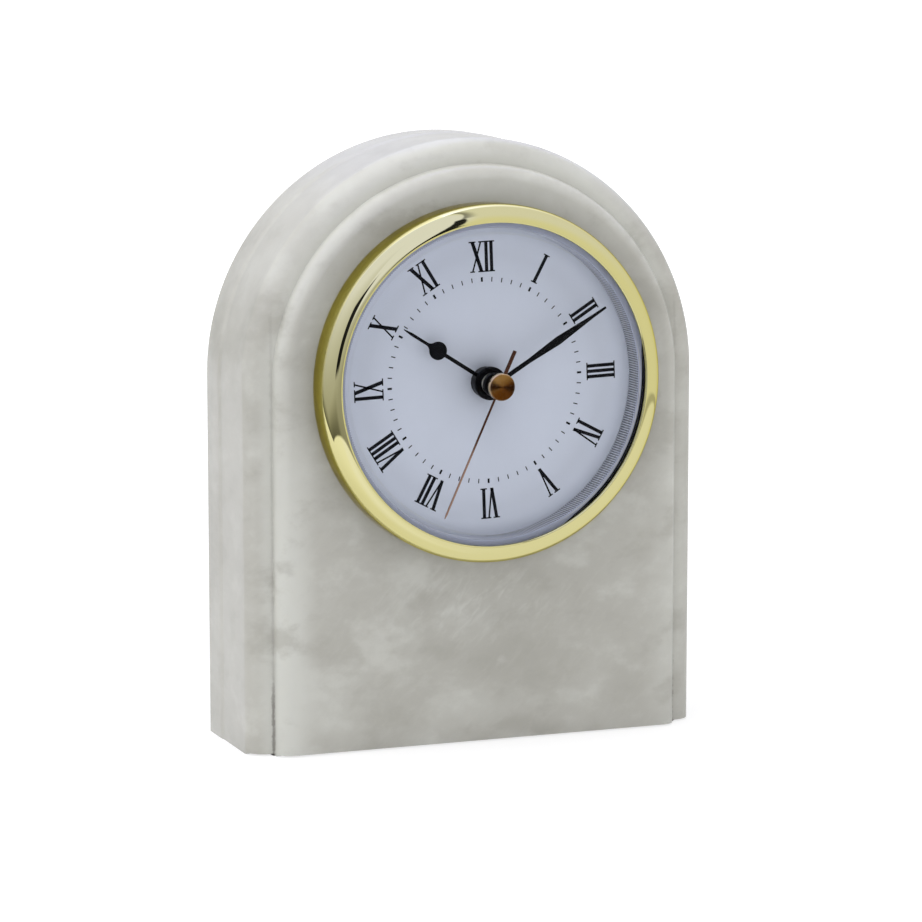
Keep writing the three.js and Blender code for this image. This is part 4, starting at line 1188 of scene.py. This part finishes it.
class CLOCK_OT_housing(bpy.types.Operator):
    """Black cup of the insert and the ribbed rubber band that holds it in the bore"""

    bl_idname = "clock.housing"
    bl_label = "Housing"

    def execute(self, context):
        hole, flange = radii("insert_cup")
        back, plate = outs("insert_cup")
        face = outs("bezel")[0]
        grip_inner, grip_outer = radii("grip_ring")
        wall, rib_depth, ribs = 1.2 * MM, 0.7 * MM, 3
        outer, bead = grip_inner - PLAY, grip_outer - rib_depth
        corners = [
            (hole, face), (outer - wall, face), (outer - wall, back), (bead, back),
            (bead, back + wall), (outer, back + wall), (outer, face), (flange, face),
            (flange, plate), (hole, plate)]
        crisp, soft, hollow = 0.1 * MM, 0.25 * MM, 0.6 * MM
        profile = rounded(corners, [crisp, hollow, *[soft] * 4, *[crisp] * 4])
        stand_in("insert_cup", "cup", "housing_black", [ring(profile, 192)])
        low, high = outs("grip_ring")
        along = linspace(0, 1, 49)
        rib = 0.5 - 0.5 * cos(TAU * ribs * along)
        outside = np.stack([grip_outer - rib_depth * (1 - rib), low + (high - low) * along], -1)
        profile = np.concatenate([[[grip_inner, low]], outside, [[grip_inner, high]]])
        stand_in("grip_ring", "grip", "grip_rubber", [ring(profile, 160)])
        return {"FINISHED"}


# ---------------------------------------------------------------- hands


BLADE = 0.5 * MM  # thickness of the hands
BLADE_EDGE = 0.07 * MM
# Lance of the minute hand: share of its length, and its width there in millimetres
LANCE = np.array([(0, 1.1), (0.31, 1.1), (0.57, 2.1), (0.87, 0.8), (1, 0.5)])


class CLOCK_OT_hands(bpy.types.Operator):
    """Black hour and minute hand, copper second hand with its turned cap"""

    bl_idname = "clock.hands"
    bl_label = "Hands"

    def execute(self, context):
        s = context.scene.clock_hands
        self.hour(s)
        self.minute(s)
        self.second(s)
        self.cap(s)
        return {"FINISHED"}

    def hour(self, s):
        """Stem, round part and point, with a hollow rounding between the last two.

        The hollow's circle touches the round part and the point's straight side.
        """
        stem, point, blob, flare = s.hour_stem / 2, s.hour_point / 2, s.hour_blob, s.hour_flare
        place, side = s.hour_blob_place, point + flare
        height = ((blob + flare) ** 2 - side ** 2) ** 0.5
        touch = np.arctan2(height, side)
        turn = linspace(np.arcsin(stem / blob) - pi / 2, touch, 40)
        back = linspace(pi + touch, pi, 12)[1:]
        right = np.concatenate([
            [[stem, 3 * MM]],
            np.stack([blob * cos(turn), place + blob * sin(turn)], -1),
            np.stack([side + flare * cos(back), place + height + flare * sin(back)], -1),
            [[point, s.hour_length - blob], [0.3 * point, s.hour_length]]])
        self.black("hour_hand", right, 2.6 * MM, 4.2 * MM, 0.18 * MM)

    def minute(self, s):
        """Lance whose half width runs straight between its rows."""
        along = linspace(2.2 * MM, s.minute_length, 60)
        half = np.interp(along / s.minute_length, LANCE[:, 0], LANCE[:, 1] * MM / 2)
        self.black("minute_hand", np.stack([half, along], -1), 1.7 * MM, 3 * MM, 0.2 * MM)

    def black(self, node, right, bore, radius, rounding):
        """Flat blade from the right half of its outline, on a hub."""
        low, high = outs(node)
        middle = (low + high) / 2
        blade = extruded(mirrored(right), middle - BLADE / 2, middle + BLADE / 2, BLADE_EDGE)
        shapes = [
            loft(rolled_over(blade, hand_angle(node))), washer(bore, radius, low, high, rounding)]
        stand_in(node, "black_" + node, "hand_black", shapes)

    def second(self, s):
        """Needle that bends towards the dial and thins out, tail that lifts, hub on a pipe."""
        low, high = outs("second_hand")
        reach = radii("second_hand")[1]
        under, root, rounding = high - BLADE, 1 * MM, 0.1 * MM
        half, tip = s.needle_width / 2, 0.08 * MM
        along = linspace(root, reach, 30)
        width = np.interp(along, [0, reach * 0.97, reach], [half, half, tip])
        needle = extruded(mirrored(np.stack([width, along], -1)), under, high, rounding)
        v, w = needle[:, :, 1], needle[:, :, 2]
        bent = clip((v - root) / (reach - root), 0, 1)
        needle[:, :, 2] = w - (w - under) * 0.5 * bent - s.needle_dip * bent
        half, end, lift_start, lift = s.tail_width / 2, s.tail_length, 3 * MM, 0.8 * MM
        outline = rounded([(-half, -end), (half, -end), (half, -root), (-half, -root)], rounding, 3)
        tail = extruded(outline, under, high, rounding)
        tail[:, :, 2] += lift * clip((-tail[:, :, 1] - lift_start) / (end - lift_start), 0, 1)
        angle = hand_angle("second_hand")
        bore, hub, pipe = 0.8 * MM, 2 * MM, 1.45 * MM
        shapes = [
            loft(rolled_over(needle, angle)), loft(rolled_over(tail, angle)),
            washer(bore, hub, under, high, rounding), washer(bore, pipe, low, high, rounding)]
        stand_in("second_hand", "copper_second_hand", "hand_copper", shapes)

    def cap(self, s):
        """Turned cap: rounded edge, and fine rings depth (cos(tau r / pitch) - 1) on its end."""
        low, high = outs("second_hand_cap")
        edge, ease, depth, middle = 0.3 * MM, 0.1 * MM, 0.014 * MM, 0.06 * MM
        flat = s.cap_radius - edge
        turn = linspace(0, pi / 2, 6)
        side = np.stack([flat + edge * cos(turn), high - edge + edge * sin(turn)], -1)
        r = linspace(flat, middle, 120)[1:]
        groove = depth * (cos(TAU * r / s.cap_groove) - 1)
        profile = np.concatenate([
            [[ease, low], [s.cap_radius - ease, low], [s.cap_radius, low + ease]],
            side, np.stack([r, high + groove], -1)])
        shape = loft(turned(profile, 128))
        stand_in("second_hand_cap", "turned_cap", "cap_brass", [shape], sharp=60)


# ---------------------------------------------------------------- movement


class CLOCK_OT_movement(bpy.types.Operator):
    """Movement, seen from behind, and the finishes of the pieces inside it"""

    bl_idname = "clock.movement"
    bl_label = "Movement"

    def execute(self, context):
        edge, knob_edge = context.scene.clock_movement.moulded_edge, 0.25 * MM
        eased_copy("movement_case", "movement_tub", "movement_black", edge)
        eased_copy("movement_cover", "movement_back", "movement_black", edge)
        eased_copy("setting_knob", "hand_setter", "movement_black", knob_edge)
        for slot, nodes in KEPT_NODES.items():
            for node in nodes:
                materials = frame["nodes"][node].data.materials
                materials.clear()
                materials.append(FINISH[slot])
        self.battery()
        return {"FINISHED"}

    def battery(self):
        """A lying cell: profiles of its jacket and its can, turned about its own axis."""
        relative = node_points("battery") - [AXIS_X, DIAL_Y, AXIS_Z]
        along = relative @ [cos(INSERT_ROLL), 0, sin(INSERT_ROLL)]
        up = relative @ [-sin(INSERT_ROLL), 0, cos(INSERT_ROLL)]
        out = -relative[:, 1]
        middle_up, middle_out = (up.max() + up.min()) / 2, (out.max() + out.min()) / 2
        plus = 1 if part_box("contact_positive")[0].x > 0 else -1

        def lying(a, b, h):
            return on_dial(plus * h, middle_up + a, middle_out + b)

        # in millimetres; the rim is the shoulder that the nub stands on
        r = (up.max() - up.min()) / 2 / MM
        end = (along.max() - along.min()) / 2 / MM
        foot, rim, nub = -end, end - 1, 2.7
        skin, lap, foot_fold, rim_fold = 0.4, 0.5, 1.3, 1.1
        jacket = rounded([
            (r - foot_fold, foot), (r, foot), (r, rim), (r - rim_fold, rim),
            (r - rim_fold, rim - lap), (r - skin, rim - lap), (r - skin, foot + lap),
            (r - foot_fold, foot + lap)], [0.2, 0.7, 0.7, 0.15, *[0.1] * 4])
        can = np.array([
            (0.1, foot + 0.12), (4.4, foot + 0.12), (4.9, foot + 0.3), (r - 0.5, foot + 0.4),
            (r - 0.45, foot + 0.6), (r - 0.45, rim - 0.6), (r - 0.5, rim - 0.4),
            (nub + 0.25, rim - 0.3), (nub, rim - 0.05), (nub, end - 0.25), (nub - 0.25, end),
            (0.1, end)])
        parts = [(loft(turned(jacket * MM, 96, lying), wrap=True), FINISH["battery_jacket"]),
                 (loft(turned(can * MM, 96, lying)), FINISH["crystal_can"])]
        piece("cell", parts, "battery_body", ["battery"])


# ---------------------------------------------------------------- stage


AIM = (0, 0, 0.08)  # the lamps look at the middle of the clock
# Softboxes: place and width in metres; their strengths are settings
LAMPS = {
    "top": ((-0.25, -0.1, 1.3), 1.1),
    "left": ((-1.3, 0.15, 0.5), 0.9),
    "front": ((0.9, -1.4, 0.7), 1.0),
}
HALF_FLOOR = 12.0
SENSOR_WIDTH = 36
WHITE = (1, 1, 1)


class CLOCK_OT_stage(bpy.types.Operator):
    """Pale floor, soft studio light and the camera"""

    bl_idname = "clock.stage"
    bl_label = "Stage"

    def execute(self, context):
        s = context.scene.clock_stage
        self.floor(s)
        self.world(context.scene, s)
        for name, (place, size) in LAMPS.items():
            self.lamp(name, Vector(place), size, getattr(s, name + "_lamp"))
        self.camera(context.scene, s)
        context.scene.view_settings.view_transform = "Standard"
        return {"FINISHED"}

    def camera(self, scene, s):
        """Looks along (sin a cos e, cos a cos e, -sin e), for azimuth a and elevation e."""
        level = cos(s.elevation)
        ahead = Vector((sin(s.azimuth) * level, cos(s.azimuth) * level, -sin(s.elevation)))
        right = ahead.cross(Vector((0, 0, 1))).normalized()
        up = right.cross(ahead)
        turn = Matrix((right, up, -ahead)).transposed().to_4x4()
        data = bpy.data.cameras.new("camera")
        data.lens = s.lens
        data.sensor_width = SENSOR_WIDTH
        data.clip_start = 0.01
        made = bpy.data.objects.new("camera", data)
        made.matrix_world = Matrix.Translation(s.place) @ turn
        scene.collection.objects.link(made)
        scene.camera = made

    def lamp(self, name, place, size, power):
        """A round softbox, not seen in the gloss."""
        data = bpy.data.lights.new(name, "AREA")
        data.shape = "DISK"
        data.size = size
        data.energy = power
        made = bpy.data.objects.new(name, data)
        turn = (Vector(AIM) - place).to_track_quat("-Z", "Y").to_matrix().to_4x4()
        made.matrix_world = Matrix.Translation(place) @ turn
        made.visible_glossy = False
        bpy.context.scene.collection.objects.link(made)

    def floor(self, s):
        """Matte plane; for the camera it glows, a little less near the clock, under its shadow."""
        corners = [(-1, -1, 0), (1, -1, 0), (1, 1, 0), (-1, 1, 0)]
        mesh = bpy.data.meshes.new("floor")
        mesh.from_pydata((np.array(corners) * HALF_FLOOR).tolist(), [], [[0, 1, 2, 3]])
        made = bpy.data.objects.new("floor", mesh)
        bpy.context.scene.collection.objects.link(made)
        made.visible_glossy = False
        f = sheet("floor")
        matte = f.principled(Base_Color=s.floor, Roughness=0.9)
        shaded = f.principled(Base_Color=(0.3, 0.3, 0.3), Roughness=0.9)
        x, y, _ = f.parts(f.place())
        far = ((x ** 2 + y ** 2) ** 0.5).between(0.12, 0.7)
        tone = f.mixed((0.76, 0.76, 0.76), WHITE, far)
        glow = f.node("ShaderNodeEmission", None, {"Color": tone, "Strength": 1.0})
        shown = f.node("ShaderNodeAddShader", None, {0: shaded, 1: glow})
        seen, = f.rays("Is Camera Ray")
        mesh.materials.append(f.finish(f.blended(matte, shown, seen)))

    def world(self, scene, s):
        """Soft light for the object; a white room for what the camera and gloss see.

        Gold throws little light back on the stone: after a diffuse bounce the room is dim.
        """
        scene.world = bpy.data.worlds.new("studio")
        w = Sheet(scene.world)
        seen, glossy, through, bounces = w.rays(
            "Is Camera Ray", "Is Glossy Ray", "Is Transmission Ray", "Diffuse Depth")
        mirrored_room = w.blended(
            w.background(self.room(w)), w.background(WHITE, 0.06), bounces.smaller(1))
        shown = w.blended(w.background(WHITE, s.ambient), mirrored_room, glossy)
        shown = w.blended(shown, w.background(WHITE), seen.larger(through))
        w.finish(shown, "ShaderNodeOutputWorld")

    def room(self, w):
        """White tent by bearing and height from the dial's axis, in radians.

        It holds a table, a post, a nook and an opening. The table's edge falls with the bearing b
        to -0.5 at b = -1.26 and rises again behind that. Tent is the light and cool its blue share.
        """
        x, y, z = w.parts(w.node("ShaderNodeTexCoord", output="Generated"))
        bearing, height = x.arctan2(0 - y), z.arcsine()
        right = bearing.between(0.24, 0.36)

        # walls, brighter upwards, with a lit stretch on the left of the camera
        lit = bearing.between(-0.45, -0.15) * height.between(-0.08, 0.1)
        wall = (0.5 + 0.42 * height).smaller(0.8).larger(0.8 * lit)
        wall = wall * (1 - right) + 0.74 * right
        cool = (0.5 + 0.75 * height).smaller(1.0).larger(lit)
        cool = cool * (1 - right * (1 - 0.5 * height.between(0.1, 0.6)))

        # table, with a darker band of wall above it
        table = (0.2 * bearing - 0.245).larger(-0.853 - 0.28 * bearing)
        rise = height - table.smaller(-0.15 - 0.05 * bearing)
        shade = 0.62 - 0.32 * bearing.between(-0.35, -0.1)
        band = (1 - rise.between(0.0, 0.24)) * (1 - right) * shade
        line = (1 - rise.between(0.02, 0.035)) * right * 0.4
        below = 1 - rise.between(-0.008, 0.008)
        deep = (1 - height.between(-0.9, -0.3)).larger(bearing.between(-0.1, 0.5))
        tent = wall * (1 - band.larger(line)) * (1 - below) + (0.93 - 0.14 * deep) * below
        cool = (cool * (1 - below) + (0.65 - 0.47 * deep) * below) * (1 - band)

        # dark post and nook above the dial, dark opening for the camera
        side = x + 0.2235 * y - 0.066 * z
        foot = 0.02 + 0.016 * (1 - height.between(0.0, 0.1))
        post = 1 - abs(side - 0.085 + 0.165 * height).between(foot, foot + 0.01)
        post = post * height.between(-0.06, -0.03) * (1 - height.between(0.52, 0.62))
        nook = (1 - side.between(0.0, 0.085)) * side.between(-0.012, 0.004)
        nook = nook * height.between(0.5, 0.62)
        opening = 1 - abs(bearing + 0.2).between(0.125, 0.16)
        opening = opening * (1 - abs(height - 0.1).between(0.14, 0.19))
        tent = tent * (1 - post * 0.98) * (1 - nook * 0.65) * (1 - opening * 0.98)

        # behind the clock: light that grows upwards round a grey spot, warmer on the left
        behind = abs(bearing).between(1.75, 2.3) * height.between(0.15, 0.45)
        spot = 1 - (((bearing + 2.37) ** 2 + (height - 0.82) ** 2) ** 0.5).between(0.05, 0.25)
        aside = (0 - bearing).between(2.0, 2.4)
        tent = tent * (1 - behind) + (0.55 + 0.6 * height) * (1 - 0.4 * spot) * behind
        tent = tent * (1 - 0.12 * aside)
        cool = cool * (1 - behind) + (0.3 + 0.7 * height) * behind
        cool = cool * (1 - 0.6 * aside)
        return w.node("ShaderNodeCombineColor", {"mode": "RGB"}, {
            0: tent, 1: tent * (1 + 0.05 * cool), 2: tent * (1 + 0.75 * cool)})


# ---------------------------------------------------------------- add-on


OPERATORS = (
    CLOCK_OT_case, CLOCK_OT_bezel, CLOCK_OT_lens, CLOCK_OT_dial_ring, CLOCK_OT_dial,
    CLOCK_OT_housing, CLOCK_OT_hands, CLOCK_OT_movement, CLOCK_OT_stage)


class CLOCK_PT_panel(bpy.types.Panel):
    """Lists the makers of the clock's pieces"""

    bl_idname = "CLOCK_PT_panel"
    bl_label = "Desk clock"
    bl_space_type = "VIEW_3D"
    bl_region_type = "UI"
    bl_category = "Clock"

    def draw(self, context):
        for operator in OPERATORS:
            self.layout.operator(operator.bl_idname)


SETTINGS = {
    "clock_case": CaseSettings,
    "clock_insert": InsertSettings,
    "clock_hands": HandSettings,
    "clock_movement": MovementSettings,
    "clock_stage": StageSettings,
}
CLASSES = (*SETTINGS.values(), *OPERATORS, CLOCK_PT_panel)


def register():
    for each in CLASSES:
        bpy.utils.register_class(each)
    for name, group in SETTINGS.items():
        setattr(bpy.types.Scene, name, PointerProperty(type=group))


def unregister():
    for name in SETTINGS:
        delattr(bpy.types.Scene, name)
    for each in reversed(CLASSES):
        bpy.utils.unregister_class(each)


def main():
    register()
    FINISH.update(finishes(bpy.context.scene))
    for operator in OPERATORS:
        group, name = operator.bl_idname.split(".")
        getattr(getattr(bpy.ops, group), name)()


if __name__ == "__main__":
    main()
